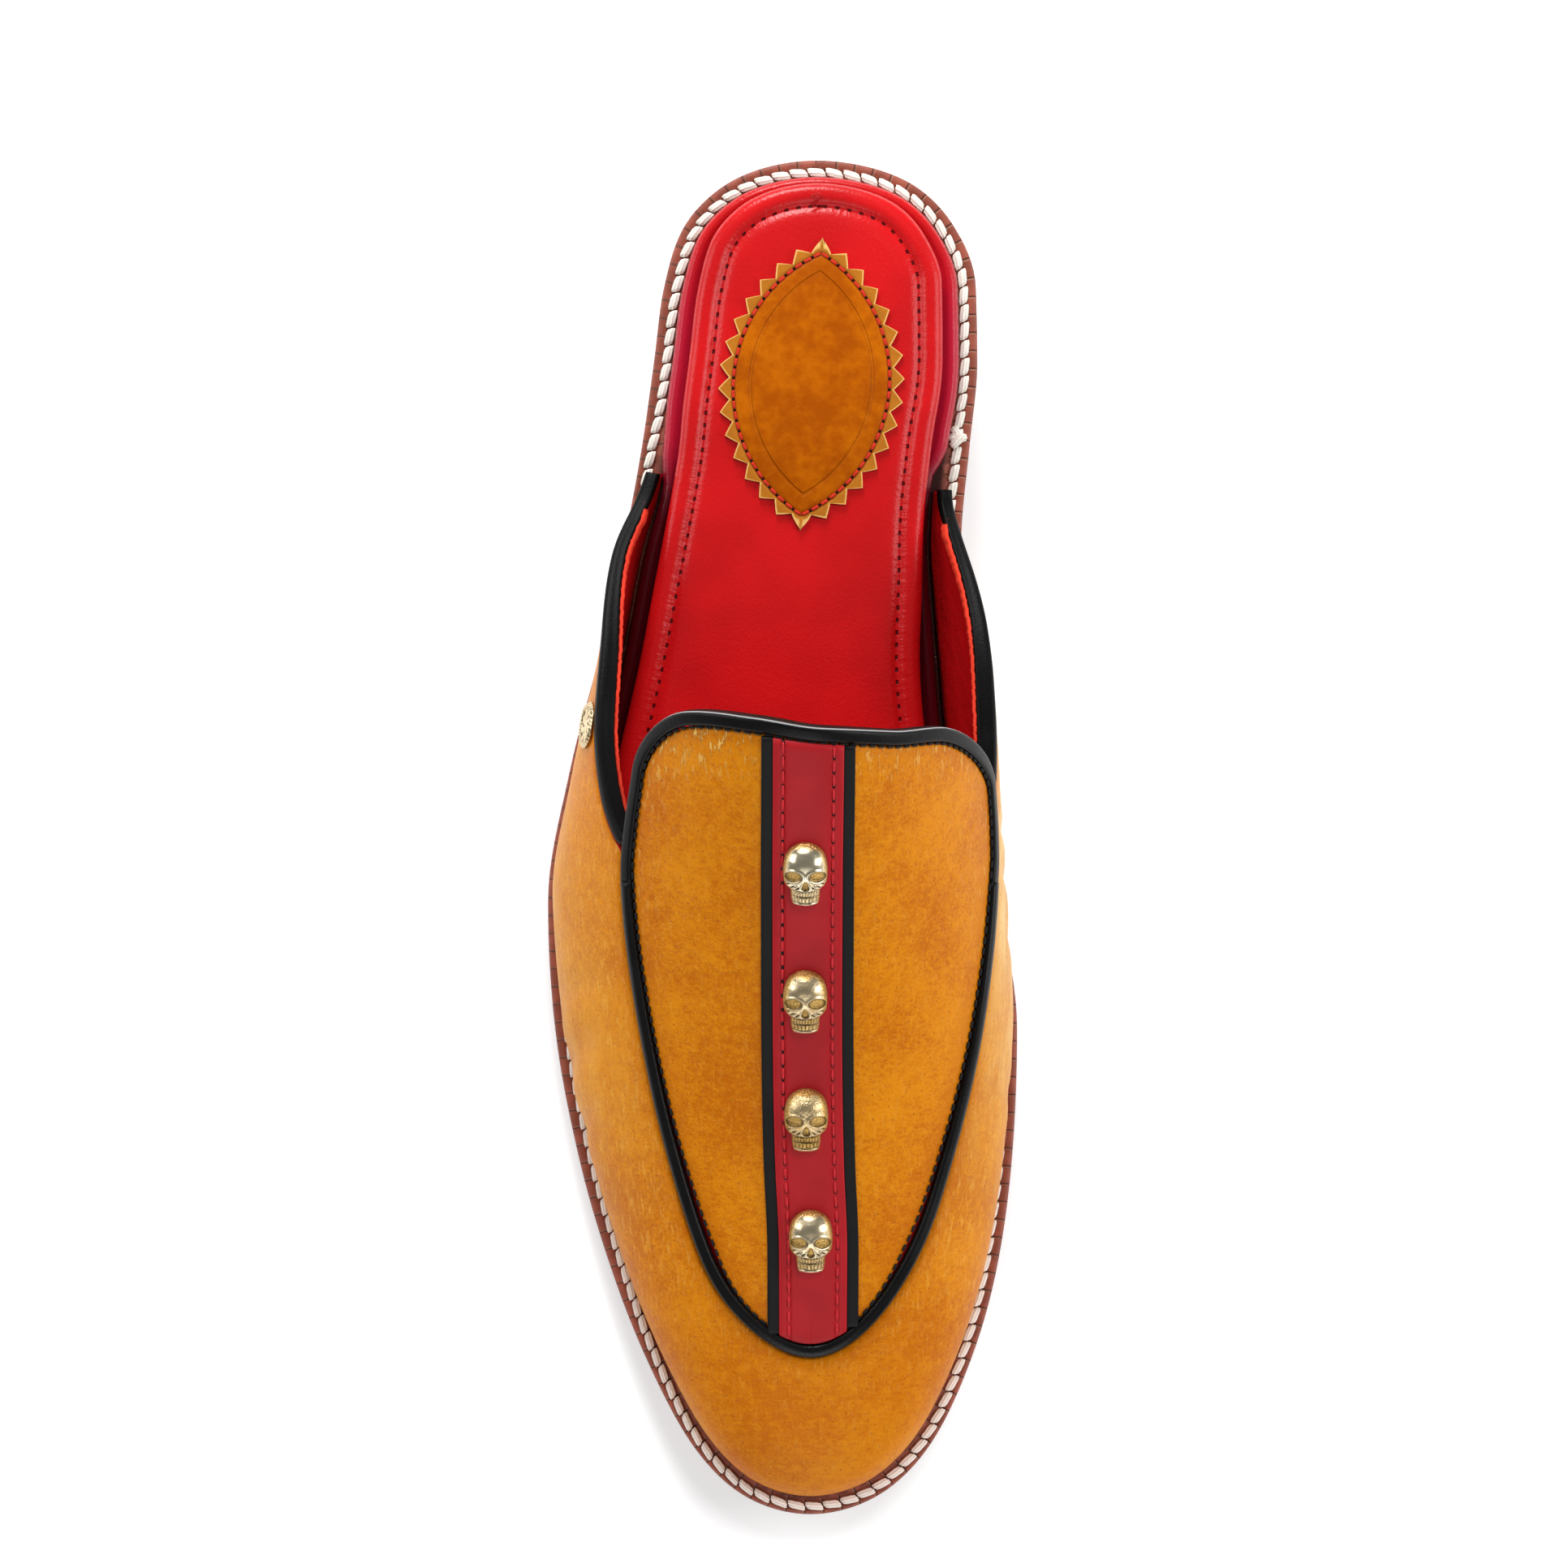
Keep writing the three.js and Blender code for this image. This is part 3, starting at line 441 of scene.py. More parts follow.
def plateau(value, start, full, fade, end):
    """Rises from 0 at start to 1 at full, and falls from fade to 0 at end."""
    return smooth(start, full, value) * (1 - smooth(fade, end, value))


def crowded(count):
    """Steps from -1 to 1 that crowd towards both ends."""
    return np.sin(np.linspace(-math.pi / 2, math.pi / 2, count))


def run_along(points):
    """Length of a line up to each of its points."""
    steps = np.linalg.norm(np.diff(points, axis=0), axis=1)
    return np.concatenate([[0], np.cumsum(steps)])


def facing(up):
    """Axes of a mount whose back lies flat and whose top points to the heel."""
    right = unit(np.cross([0.0, 1.0, 0.0], up))
    return np.stack([right, np.cross(up, right), up], 1)


seat = curve_of(SEAT, "value")
feather_inset = curve_of(FEATHER, "value")
ridge_x = curve_of(RIDGE, "x")
ridge_z = curve_of(RIDGE, "z")
tongue_top = curve_of(TONGUE_TOP, "value")
topline = {side: curve_of(TOPLINE, side) for side in SIDES}
form = {
    column: {side: curve_of(rows, column) for side, rows in FORM.items()}
    for column in ("rise", "flare", "reach")
}


def angle_at(at):
    """Angle of the outline at a station, on the lateral side."""
    return np.arccos(1 - 2 * np.asarray(at, float) / LENGTH)


def outline_curve():
    """The outline's x by angle: 0 at the heel, pi at the toe, lateral side first."""
    lateral = [(angle_at(row.at), row.lateral) for row in OUTLINE]
    medial = [(TAU - angle_at(row.at), row.medial) for row in reversed(OUTLINE)]
    loop = lateral + medial[1:]
    before = (loop[-2][0] - TAU, loop[-2][1])
    after = (loop[1][0] + TAU, loop[1][1])
    keys, values = zip(*[before, *loop, after])
    return Curve(keys, values)


outline_x = outline_curve()


def station(points):
    """Distance of points from the back of the heel."""
    return LENGTH / 2 - points[..., 1]


def outline(angle):
    """Points of the sole's edge."""
    turn = np.mod(angle, TAU)
    return np.stack([outline_x(turn), LENGTH / 2 * np.cos(turn), 0 * turn], -1)


def rim(angle, inset):
    """Points of the sole's edge moved inwards."""
    angle = np.asarray(angle, float)
    along = unit(outline(angle + NUDGE) - outline(angle - NUDGE))
    inwards = np.stack([-along[..., 1], along[..., 0], 0 * angle], -1)
    return outline(angle) + inwards * np.asarray(inset)[..., None]


def tuck(angle):
    """How far the wings' ends lean in from the welt."""
    at = station(outline(angle))
    lateral, medial = (WING_TUCK[side] * (1 - smooth(*TUCK_FADE[side], at)) for side in SIDES)
    return np.where(np.mod(angle, TAU) <= math.pi, lateral, medial)


def feather(angle):
    """The edge where the upper meets the welt."""
    return rim(angle, feather_inset(station(outline(angle))) + tuck(angle))


HALF_TURN = np.linspace(0, math.pi, 4001)
FEATHER_STATIONS = {
    "lateral": station(feather(HALF_TURN)),
    "medial": station(feather(TAU - HALF_TURN)),
}


def feather_angle(at, side):
    """Angle of the feather edge at a station, on one side."""
    turn = np.interp(at, FEATHER_STATIONS[side], HALF_TURN)
    return turn if side == "lateral" else TAU - turn


def ridge_station(at):
    """Station on the ridge where the half section of a feather station ends."""
    reach = LENGTH - LIP - FAN_FROM
    run = FAN_PIVOT - FAN_FROM
    share = np.clip((at - FAN_FROM) / reach, 0, 1)
    return np.where(at <= FAN_FROM, at, FAN_FROM + run * (1 - (1 - share) ** (reach / run)))


def ridge_slope(at):
    """How fast the ridge falls towards the toe."""
    low = np.minimum(at, FAN_PIVOT) - 1
    return (ridge_z(low + 1) - ridge_z(low - 1)) / 2


def by_side(medial, curves, at):
    """Values of the two sides' curves, each where its side is."""
    return np.where(medial, curves["medial"](at), curves["lateral"](at))


def section(angle):
    """Control points of the half sections from the feather edge up to the ridge."""
    foot = feather(angle)
    at = station(foot)
    foot[..., 2] = seat(at) + GAP
    top = ridge_station(at)
    crest = np.stack([ridge_x(top), LENGTH / 2 - top, ridge_z(top)], -1)
    inwards = crest - foot
    inwards[..., 2] = 0
    width = np.linalg.norm(inwards, axis=-1)
    inwards = unit(inwards)
    medial = angle > math.pi
    flare = np.radians(by_side(medial, form["flare"], at))
    lift = by_side(medial, form["rise"], at) * (crest[..., 2] - foot[..., 2])
    wall = -inwards * np.sin(flare)[..., None]
    wall[..., 2] = np.cos(flare)
    roof = inwards.copy()
    roof[..., 2] = -inwards[..., 1] * ridge_slope(top)
    reach = by_side(medial, form["reach"], at) * width
    return np.stack([foot, foot + wall * lift[..., None], crest - roof * reach[..., None], crest], -2)


def along_section(control, share):
    """Points of half sections at shares from 0, the feather edge, to 1, the ridge."""
    s = np.asarray(share)[..., None]
    a, b, c, d = (control[..., i, :] for i in range(4))
    return (1 - s) ** 3 * a + 3 * s * (1 - s) ** 2 * b + 3 * s * s * (1 - s) * c + s**3 * d


def climb(control, share):
    """A short step up half sections."""
    return along_section(control, share + NUDGE) - along_section(control, share - NUDGE)


def on_last(angle, share):
    """Points of the last's skin."""
    return along_section(section(angle), share)


RIDGE_BLEND = 0.94


def skin_normal(angle, share):
    """Outward normals of the last."""
    turn = 0.01
    low = np.minimum(share, RIDGE_BLEND)
    across = on_last(angle + turn, low) - on_last(angle - turn, low)
    here = section(angle)
    side = unit(-np.cross(climb(here, low), across))
    slope = ridge_slope(ridge_station(station(here[..., 0, :])))
    crest = unit(np.stack([0 * slope, slope, 0 * slope + 1], -1))
    blend = smooth(RIDGE_BLEND, 1, share)[..., None]
    return unit(side * (1 - blend) + crest * blend)


def skin(angle, share, lift=0.0):
    """Points of the last's skin, raised along its normal."""
    raised = skin_normal(angle, share) * np.asarray(lift, float)[..., None]
    return on_last(angle, share) + raised


SAMPLES = 500


def sampled(angle, low=None):
    """Shares along half sections from their widest point, with the points there."""
    angle = np.asarray(angle, float)
    control = section(angle)[..., None, :, :]
    coarse = np.broadcast_to(np.linspace(0, 0.6, 61), angle.shape + (61,))
    reach = along_section(control, coarse) - control[..., 3, :]
    widest = np.argmax(np.hypot(reach[..., 0], reach[..., 1]), -1) * 0.01
    start = widest if low is None else np.full_like(widest, low)
    shares = start[..., None] + (1 - start[..., None]) * np.linspace(0, 1, SAMPLES)
    return shares, along_section(control, shares)


def crossing(shares, field):
    """Share at which each row of a field first turns positive."""
    inside = field > 0
    after = np.clip(np.argmax(inside, -1), 1, field.shape[-1] - 1)[..., None]
    low = np.take_along_axis(field, after - 1, -1)[..., 0]
    high = np.take_along_axis(field, after, -1)[..., 0]
    step = np.clip(-low / np.where(high > low, high - low, 1), 0, 1)
    first = np.take_along_axis(shares, after - 1, -1)[..., 0]
    last = np.take_along_axis(shares, after, -1)[..., 0]
    return np.where(inside.any(-1), first + step * (last - first), 1.0)


def plan_share(angle, part):
    """Share of a half section at a part of the way, seen from above, from the ridge to its edge."""
    shares, points = sampled(angle)
    run = points - points[:, -1:, :]
    away = np.hypot(run[..., 0], run[..., 1])
    return np.stack([np.interp(-part[i], -away[i], shares[i]) for i in range(len(away))])


def over_plan(x, at):
    """Angle and share of the skin over places in plan, behind the fan."""
    flat_x = np.ravel(x)
    flat_at = np.ravel(np.broadcast_to(at, np.shape(x)))
    lateral = flat_x <= ridge_x(flat_at)
    angle = np.where(lateral, feather_angle(flat_at, "lateral"), feather_angle(flat_at, "medial"))
    shares, points = sampled(angle)
    field = np.where(lateral[:, None], points[..., 0] - flat_x[:, None], flat_x[:, None] - points[..., 0])
    return angle.reshape(np.shape(x)), crossing(shares, field).reshape(np.shape(x))


seam_shift = {side: curve_of(SEAM_SHIFT, side) for side in SIDES}


def apron_half(at, medial, stretch=0.0):
    """Half width of apron and tongue on one side of the ridge, seen from above."""
    behind = TONGUE_HALF + (APRON_HALF - TONGUE_HALF) * (at - TONGUE_FROM) / (APRON_FROM - TONGUE_FROM)
    share = np.clip((at - APRON_FROM) / (APRON_END + stretch - APRON_FROM), 0, 1)
    even = np.where(at < APRON_FROM, behind, APRON_HALF * (1 - share**APRON_POWER) ** APRON_ROUND)
    return even + np.where(medial, seam_shift["medial"](at), -seam_shift["lateral"](at))


def lean_curve(side):
    """How much of a step along the skin shows from above at the apron's edge."""
    at = np.linspace(TONGUE_FROM, FAN_FROM, 9)
    angle = feather_angle(at, side)
    shares, points = sampled(angle)
    half = apron_half(at, side == "medial")
    edge = crossing(shares, half[:, None] - abs(points[..., 0] - ridge_x(at)[:, None]))
    run = unit(climb(section(angle), edge))
    shows = np.hypot(run[:, 0], run[:, 1])
    return Curve([*at, APRON_END], [*shows, 0.9])


lean = {side: lean_curve(side) for side in SIDES}


def grown_half(at, grow, medial):
    """Half width of the apron grown by a distance along the skin."""
    fade = np.clip((APRON_END + grow - at) / APRON_BLEND, 0, 1)
    shows = by_side(medial, lean, at)
    return np.where(at < APRON_END + grow, apron_half(at, medial, grow) + grow * shows * fade, -1)


def apron_edge(angle, grow):
    """Share of half sections where the grown outline of apron and tongue begins."""
    shares, points = sampled(angle)
    at = station(points)
    x = points[..., 0] - ridge_x(at)
    return crossing(shares, grown_half(at, grow, x > 0) - abs(x))


def tongue_end(across):
    """Station where the tongue ends, with round corners."""
    past = np.clip((abs(across) - TONGUE_CORNER_FROM) / (1 - TONGUE_CORNER_FROM), 0, 1)
    return tongue_top(across) + TONGUE_CORNER * (1 - np.sqrt(1 - past**2))


def wall_top(angle):
    """Share of half sections where the wall ends at the collar or at the apron's step."""
    step = apron_edge(angle, PIPE_CLEAR)
    foot = section(angle)[:, 0, :]
    at = station(foot)
    shares, points = sampled(angle, 0.0)
    height = by_side(angle > math.pi, topline, at)
    cut = crossing(shares, points[..., 2] - foot[:, None, 2] - height[:, None])
    return np.where(at >= THROAT - 0.01, step, np.minimum(cut, step))


class Path:
    """A line over a surface, with the directions along, across and up at each point."""

    def __init__(self, centre, up):
        self.centre = centre
        self.up = unit(up)
        self.along = unit(np.gradient(centre, axis=0))
        self.across = unit(np.cross(self.along, self.up))
        self.run = run_along(centre)

    def spaced(self, pitch, start=0.0):
        """The same line with evenly spaced points."""
        count = max(int((self.run[-1] - 2 * start) / pitch), 1)
        stops = np.linspace(start, self.run[-1] - start, count + 1)

        def picked(part):
            return np.stack([np.interp(stops, self.run, column) for column in part.T], 1)

        return Path(picked(self.centre), picked(self.up))

    def only(self, kept):
        """The chosen points of this line, with their directions."""
        chosen = copy.copy(self)
        for name, values in vars(self).items():
            setattr(chosen, name, values[kept])
        return chosen

    def moved(self, across, up):
        """The line beside this one."""
        return Path(self.centre + self.across * across + self.up * up, self.up)


def skin_path(angle, share):
    """A path over the last's skin."""
    return Path(skin(angle, share), skin_normal(angle, share))


def flat_path(line):
    """A path whose up is the shoe's up."""
    return Path(line, np.broadcast_to([0.0, 0.0, 1.0], line.shape))


def add_object(name, data):
    """A new object in the scene."""
    made = bpy.data.objects.new(name, data)
    bpy.context.scene.collection.objects.link(made)
    return made


class Body:
    """Gathers shapes into one mesh with its fields, then makes it a piece of the shoe."""

    def __init__(self, name, *fields):
        self.name = name
        self.mesh = bmesh.new()
        self.fields = {field: self.mesh.verts.layers.float.new(field) for field in fields}

    def grid(self, places, material=0, **fields):
        """A sheet whose vertices take places given by row and column, in millimetres."""
        rows, columns = places.shape[:2]
        made = bmesh.ops.create_grid(self.mesh, x_segments=columns - 1, y_segments=rows - 1, size=1)
        faces = set()
        for vert in made["verts"]:
            row = round((vert.co.y + 1) / 2 * (rows - 1))
            column = round((vert.co.x + 1) / 2 * (columns - 1))
            vert.co = places[row, column] * MM
            for field, values in fields.items():
                vert[self.fields[field]] = values[row, column]
            faces.update(vert.link_faces)
        for face in faces:
            face.material_index = material
            face.smooth = True

    def slab(self, upper, lower, materials=(0, 0, 0), **fields):
        """A solid between an upper and a lower sheet of the same size."""
        top, under, edge = materials
        self.grid(upper, top, **fields)
        self.grid(lower, under, **fields)
        for pick in (np.s_[0], np.s_[-1], np.s_[:, 0], np.s_[:, -1]):
            marks = {field: np.stack([values[pick], values[pick]]) for field, values in fields.items()}
            self.grid(np.stack([upper[pick], lower[pick]]), edge, **marks)

    def cord(self, path, profile, inner=1.0, **fields):
        """A cord along a path, whose profile lists (across, up) steps from the path."""
        a, b = np.array([*profile, profile[0]]).T[:, None, :]
        a = np.where(a < 0, a * np.reshape(inner, (-1, 1)), a)
        places = (
            path.centre[:, None, :]
            + path.across[:, None, :] * a[..., None]
            + path.up[:, None, :] * b[..., None]
        )
        shape = places.shape[:2]
        marks = {field: np.broadcast_to(values, shape) for field, values in fields.items()}
        self.grid(places, **marks)

    def stitches(self, path, size, material=0, slant=0.0, skew=0.0):
        """A row of rounded stitches, one at each point of a path; a field gives the place across each."""
        for centre, along, across, up in zip(path.centre, path.along, path.across, path.up):
            made = bmesh.ops.create_uvsphere(self.mesh, u_segments=8, v_segments=5, radius=1)
            turned = along * math.cos(slant) + across * math.sin(slant)
            beside = across * math.cos(slant) - along * math.sin(slant)
            for vert in made["verts"]:
                part = [math.copysign(abs(value) ** THREAD_SQUARE, value) for value in vert.co]
                forward = part[2] * size[0] + skew * part[0] * size[1]
                place = centre + turned * forward / 2 + beside * part[0] * size[1] / 2
                vert.co = (place + up * part[1] * size[2] / 2) * MM
                for field in self.fields.values():
                    vert[field] = part[0]
            for face in {face for vert in made["verts"] for face in vert.link_faces}:
                face.smooth = True
                face.material_index = material

    def close(self):
        """Joins the sheets along their shared edges and fills open ends."""
        bmesh.ops.remove_doubles(self.mesh, verts=self.mesh.verts, dist=2e-6)
        bmesh.ops.dissolve_degenerate(self.mesh, edges=self.mesh.edges, dist=1e-7)
        rims = [edge for edge in self.mesh.edges if edge.is_boundary]
        if rims:
            bmesh.ops.holes_fill(self.mesh, edges=rims, sides=0)

    def piece(self, slot, materials, *nodes):
        """Turns the faces outwards and ends the mesh as an object that stands for the named nodes."""
        bmesh.ops.recalc_face_normals(self.mesh, faces=self.mesh.faces)
        data = bpy.data.meshes.new(self.name)
        self.mesh.to_mesh(data)
        self.mesh.free()
        made = add_object(self.name, data)
        for material in materials:
            data.materials.append(material)
        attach(made, "root")
        if nodes:
            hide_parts(*nodes)
        return made

    def solid(self, slot, materials, *nodes):
        """Closes the mesh and ends it as a piece."""
        self.close()
        return self.piece(slot, materials, *nodes)


class Socket:
    """A node's output that takes Python's arithmetic: each operation adds a Math node."""

    def __init__(self, paint, output):
        self.paint = paint
        self.output = output

    def math(self, operation, *others):
        """A Math node that starts from this value."""
        return self.paint.node("ShaderNodeMath", {"operation": operation}, dict(enumerate((self, *others))))

    def __add__(self, other):
        return self.math("ADD", other)

    def __sub__(self, other):
        return self.math("SUBTRACT", other)

    def __rsub__(self, other):
        return self.paint.node("ShaderNodeMath", {"operation": "SUBTRACT"}, {0: other, 1: self})

    def __mul__(self, other):
        return self.math("MULTIPLY", other)

    def __truediv__(self, other):
        return self.math("DIVIDE", other)

    def __abs__(self):
        return self.math("ABSOLUTE")

    __radd__ = __add__
    __rmul__ = __mul__

    def soft(self, low, high):
        """Goes softly from 0 at low to 1 at high."""
        settings = {"interpolation_type": "SMOOTHSTEP"}
        return self.paint.node("ShaderNodeMapRange", settings, {0: self, 1: low, 2: high})

    def over(self, pitch):
        """Place within each repeat of a pitch, from 0 to 1."""
        return (self / pitch).math("FRACT")


class Paint:
    """A material made of nodes."""

    def __init__(self, name):
        self.material = bpy.data.materials.new(name)
        self.material.use_nodes = True
        self.tree = self.material.node_tree
        self.tree.nodes.clear()

    def node(self, kind, settings=None, inputs=None, output=0):
        """A node with its settings and its sockets' values or links."""
        made = self.tree.nodes.new(kind)
        for name, value in (settings or {}).items():
            setattr(made, name, value)
        for name, value in (inputs or {}).items():
            if isinstance(value, Socket):
                self.tree.links.new(value.output, made.inputs[name])
            else:
                made.inputs[name].default_value = value
        return Socket(self, made.outputs[output])

    def place(self, stretch=(1, 1, 1)):
        """Object coordinates, stretched."""
        where = self.node("ShaderNodeTexCoord", output=3)
        return self.node("ShaderNodeMapping", None, {0: where, 3: stretch})

    def field(self, name):
        """A field of the mesh."""
        return self.node("ShaderNodeAttribute", {"attribute_name": name}, output=2)

    def noise(self, size, detail, stretch=(1, 1, 1)):
        """Cloudy noise whose spots have about this size in millimetres."""
        inputs = {"Vector": self.place(stretch), "Scale": 1 / (size * MM), "Detail": detail}
        return self.node("ShaderNodeTexNoise", None, inputs)

    def folds(self, across, along, size):
        """Noise that follows a seam by two fields in millimetres."""
        where = self.node("ShaderNodeCombineXYZ", None, {0: across, 1: along})
        return self.node("ShaderNodeTexNoise", None, {"Vector": where, "Scale": 1 / size, "Detail": 2.0})

    def cells(self, size):
        """Distance to the middle of cells of about this size in millimetres."""
        inputs = {"Vector": self.place(), "Scale": 1 / (size * MM)}
        return self.node("ShaderNodeTexVoronoi", None, inputs)

    def mix(self, factor, first, second):
        """One colour turning into another."""
        settings = {"data_type": "RGBA"}
        inputs = {0: factor, 6: self.shade(first), 7: self.shade(second)}
        return self.node("ShaderNodeMix", settings, inputs, 2)

    @staticmethod
    def shade(value):
        """A colour with its alpha, or a socket as it is."""
        return value if isinstance(value, Socket) else (*value[:3], 1)

    def bump(self, height, depth, normal=None):
        """A Bump node whose full height is a depth in millimetres."""
        inputs = {"Height": height, "Distance": depth * MM, "Strength": 1.0}
        if normal is not None:
            inputs["Normal"] = normal
        return self.node("ShaderNodeBump", None, inputs)

    def done(self, **sockets):
        """Ends the material in a Principled shader."""
        named = {name.replace("_", " "): value for name, value in sockets.items()}
        named["Base Color"] = self.shade(named["Base Color"])
        shader = self.node("ShaderNodeBsdfPrincipled", None, named)
        surface = self.tree.nodes.new("ShaderNodeOutputMaterial")
        self.tree.links.new(shader.output, surface.inputs["Surface"])
        return self.material


def scaled(tone, factor):
    """A colour made darker or lighter."""
    return tuple(min(1.0, factor * value) for value in tone)


def between(value, centre, half, soft):
    """Mask that is 1 within half of a centre and fades over a soft margin."""
    return 1 - abs(value - centre).soft(half, half + soft)


def mustard_leather(name, colours, streaks, flank=False):
    """Burnished leather with pores and fibres, deeper at seams and toe, with a paler tint on the flanks
    that is also a painted highlight, and pale crinkles of lighter dye with a painted highlight on them.
    """
    paint = Paint(name)
    clouds = paint.noise(24, 2)
    spots = paint.noise(2.6, 4)
    grain = paint.noise(0.55, 3)
    striae = paint.noise(0.8, 3, (0.3, 1, 1))
    fibres = paint.noise(0.7, 3, (1, 0.16, 0.5))
    pores = paint.cells(1.3)
    tone = (clouds * 0.34 + spots * 0.2 + grain * 0.26 + striae * 0.2).soft(0.38, 0.6)
    shade = paint.mix(tone, colours.amber, colours.mustard)
    streak = fibres.soft(0.52, 0.72) * streaks
    if flank:
        deep = paint.field("deep")
        shade = paint.mix(streak * (1 - deep), shade, colours.honey)
        shade = paint.mix(deep * 0.4, shade, colours.amber)
        # A paler tint of the flanks that is also a painted highlight on the wall's sides and along its foot
        bands = paint.noise(5, 3, (1, 0.2, 0.6))
        pale = paint.field("pale")
        tint_and_sheen = pale * (0.3 + bands.soft(0.35, 0.65) * 0.6 + fibres * 0.3)
        light = paint.mix(pale.soft(0.2, 1.1), colours.honey, colours.straw)
        shade = paint.mix(tint_and_sheen.math("MINIMUM", 0.92), shade, light)
    else:
        shade = paint.mix(streak, shade, colours.honey)
    seam = 1 - paint.field("edge").soft(0.2, 5.0)
    shade = paint.mix(seam * 0.4, shade, colours.amber)
    speck = (1 - pores.soft(0.05, 0.2)) * spots.soft(0.4, 0.6)
    shade = paint.mix(speck * 0.6, shade, PORE)
    # Pale crinkle lines: lighter dye on the creases, with a painted highlight on them
    dashes = paint.noise(0.6, 1, (1, 0.2, 0.35))
    line = dashes.soft(0.57, 0.68) * paint.field("crinkle")
    shade = paint.mix(line * 0.85, shade, CRINKLE_DYE_AND_HIGHLIGHT)
    relief = pores.soft(0.0, 0.3) * 0.8 + grain * 0.8 + striae * 0.4
    normal = paint.bump(relief, 0.15, paint.bump(spots, 0.12))
    return paint.done(
        Base_Color=shade,
        Roughness=0.36 + spots * 0.16,
        Specular_IOR_Level=0.1,
        Normal=paint.bump(line, 0.3, normal),
    )


def red_leather(name, tone, stitch=None, wrinkles=0.0, flanks=None):
    """Smooth red leather; stitch gives a holed seam's (inset, pitch), flanks the colour of its sides, which
    is partly painted shade, with a deeper painted shade beyond it.
    """
    paint = Paint(name)
    clouds = paint.noise(20, 2)
    pebbles = paint.cells(0.75)
    fine = paint.noise(0.5, 2)
    tone = paint.mix(clouds.soft(0.3, 0.7), scaled(tone, 0.85), scaled(tone, 1.04))
    if flanks:
        # The wine of the sides is partly painted shade; where the field passes WINE_SHARE it paints a
        # deeper shade
        flank = paint.field("flank")
        tone = paint.mix(flank, tone, flanks)
        tone = paint.mix((flank - WINE_SHARE) * 0.95, tone, scaled(flanks, 0.1))
    normal = paint.bump(pebbles * 0.7 + fine * 0.5, 0.05)
    if wrinkles:
        folds = paint.noise(2.4, 2, (1, 0.35, 0.7))
        normal = paint.bump(folds, wrinkles, normal)
    if stitch:
        inset, pitch = stitch
        line = between(paint.field("inset"), inset, 0.2, 0.14)
        hole = line * between(paint.field("along").over(pitch), 0.5, 0.14, 0.06)
        tone = paint.mix(hole * 0.9, tone, SOCK_HOLE)
        gathers = paint.folds(paint.field("inset") * 0.22, paint.field("along"), 1.3)
        pulled = between(paint.field("inset"), inset - 0.6, 1.1, 1.6)
        normal = paint.bump(gathers * pulled, 0.14, normal)
        normal = paint.bump(1 - hole, 0.3, normal)
    return paint.done(
        Base_Color=tone, Roughness=0.24 + fine * 0.1, Specular_IOR_Level=0.27, Normal=normal
    )


def plain_leather(name, tone, roughness, depth=0.03, light=1.5, rimmed=False, gloss=0.22):
    """Leather of one colour with fine grain and soft wear; a rimmed one has a grey cut edge that is also a
    painted highlight.
    """
    paint = Paint(name)
    clouds = paint.noise(6, 3)
    grain = paint.cells(0.6) * 0.6 + paint.noise(0.35, 2) * 0.6
    shade = paint.mix(clouds.soft(0.4, 0.75), tone, scaled(tone, light))
    if rimmed:
        # Grey cut edge, which is also a painted highlight along the rim
        shade = paint.mix(paint.field("rim"), shade, CUT_EDGE_AND_HIGHLIGHT)
    return paint.done(
        Base_Color=shade,
        Roughness=roughness + clouds * 0.12,
        Specular_IOR_Level=gloss,
        Normal=paint.bump(grain, depth),
    )


def thread(name, tone, twist, thick=False):
    """Twisted thread; a thick one shows its plies."""
    paint = Paint(name)
    plies = paint.noise(twist, 2, (1, 0.5, 1))
    if thick:
        strand = (paint.field("ply") * 9 + plies * 4).math("SINE")
        plies = plies * 0.6 + strand * 0.25 + 0.1
    shade = paint.mix(plies.soft(0.25, 0.65), scaled(tone, 0.74), tone)
    normal = paint.bump(plies, 0.16)
    return paint.done(Base_Color=shade, Roughness=0.75, Specular_IOR_Level=0.2, Normal=normal)


def strip_leather(name, colours, pitch):
    """Crimson strip with paler cut edges and holes where its seams run."""
    paint = Paint(name)
    clouds = paint.noise(14, 2)
    inset = paint.field("inset")
    shade = paint.mix(clouds.soft(0.35, 0.65), scaled(colours.crimson, 0.86), colours.crimson)
    shade = paint.mix((1 - inset.soft(0.1, 0.5)) * 0.25, shade, STRIP_EDGE)
    line = between(inset, STRIP_SEAM, 0.26, 0.12)
    place = paint.field("along").over(pitch)
    hole = line * between(place, 0.0, 0.13, 0.05) + line * between(place, 1.0, 0.13, 0.05)
    shade = paint.mix(hole, shade, STRIP_HOLE)
    groove = between(inset, STRIP_SEAM, 0.25, 0.5)
    grain = paint.cells(0.7) * 0.5 + paint.noise(0.4, 2) * 0.4
    normal = paint.bump(1 - groove, 0.08, paint.bump(grain, 0.03))
    return paint.done(Base_Color=shade, Roughness=0.46, Specular_IOR_Level=0.16, Normal=normal)


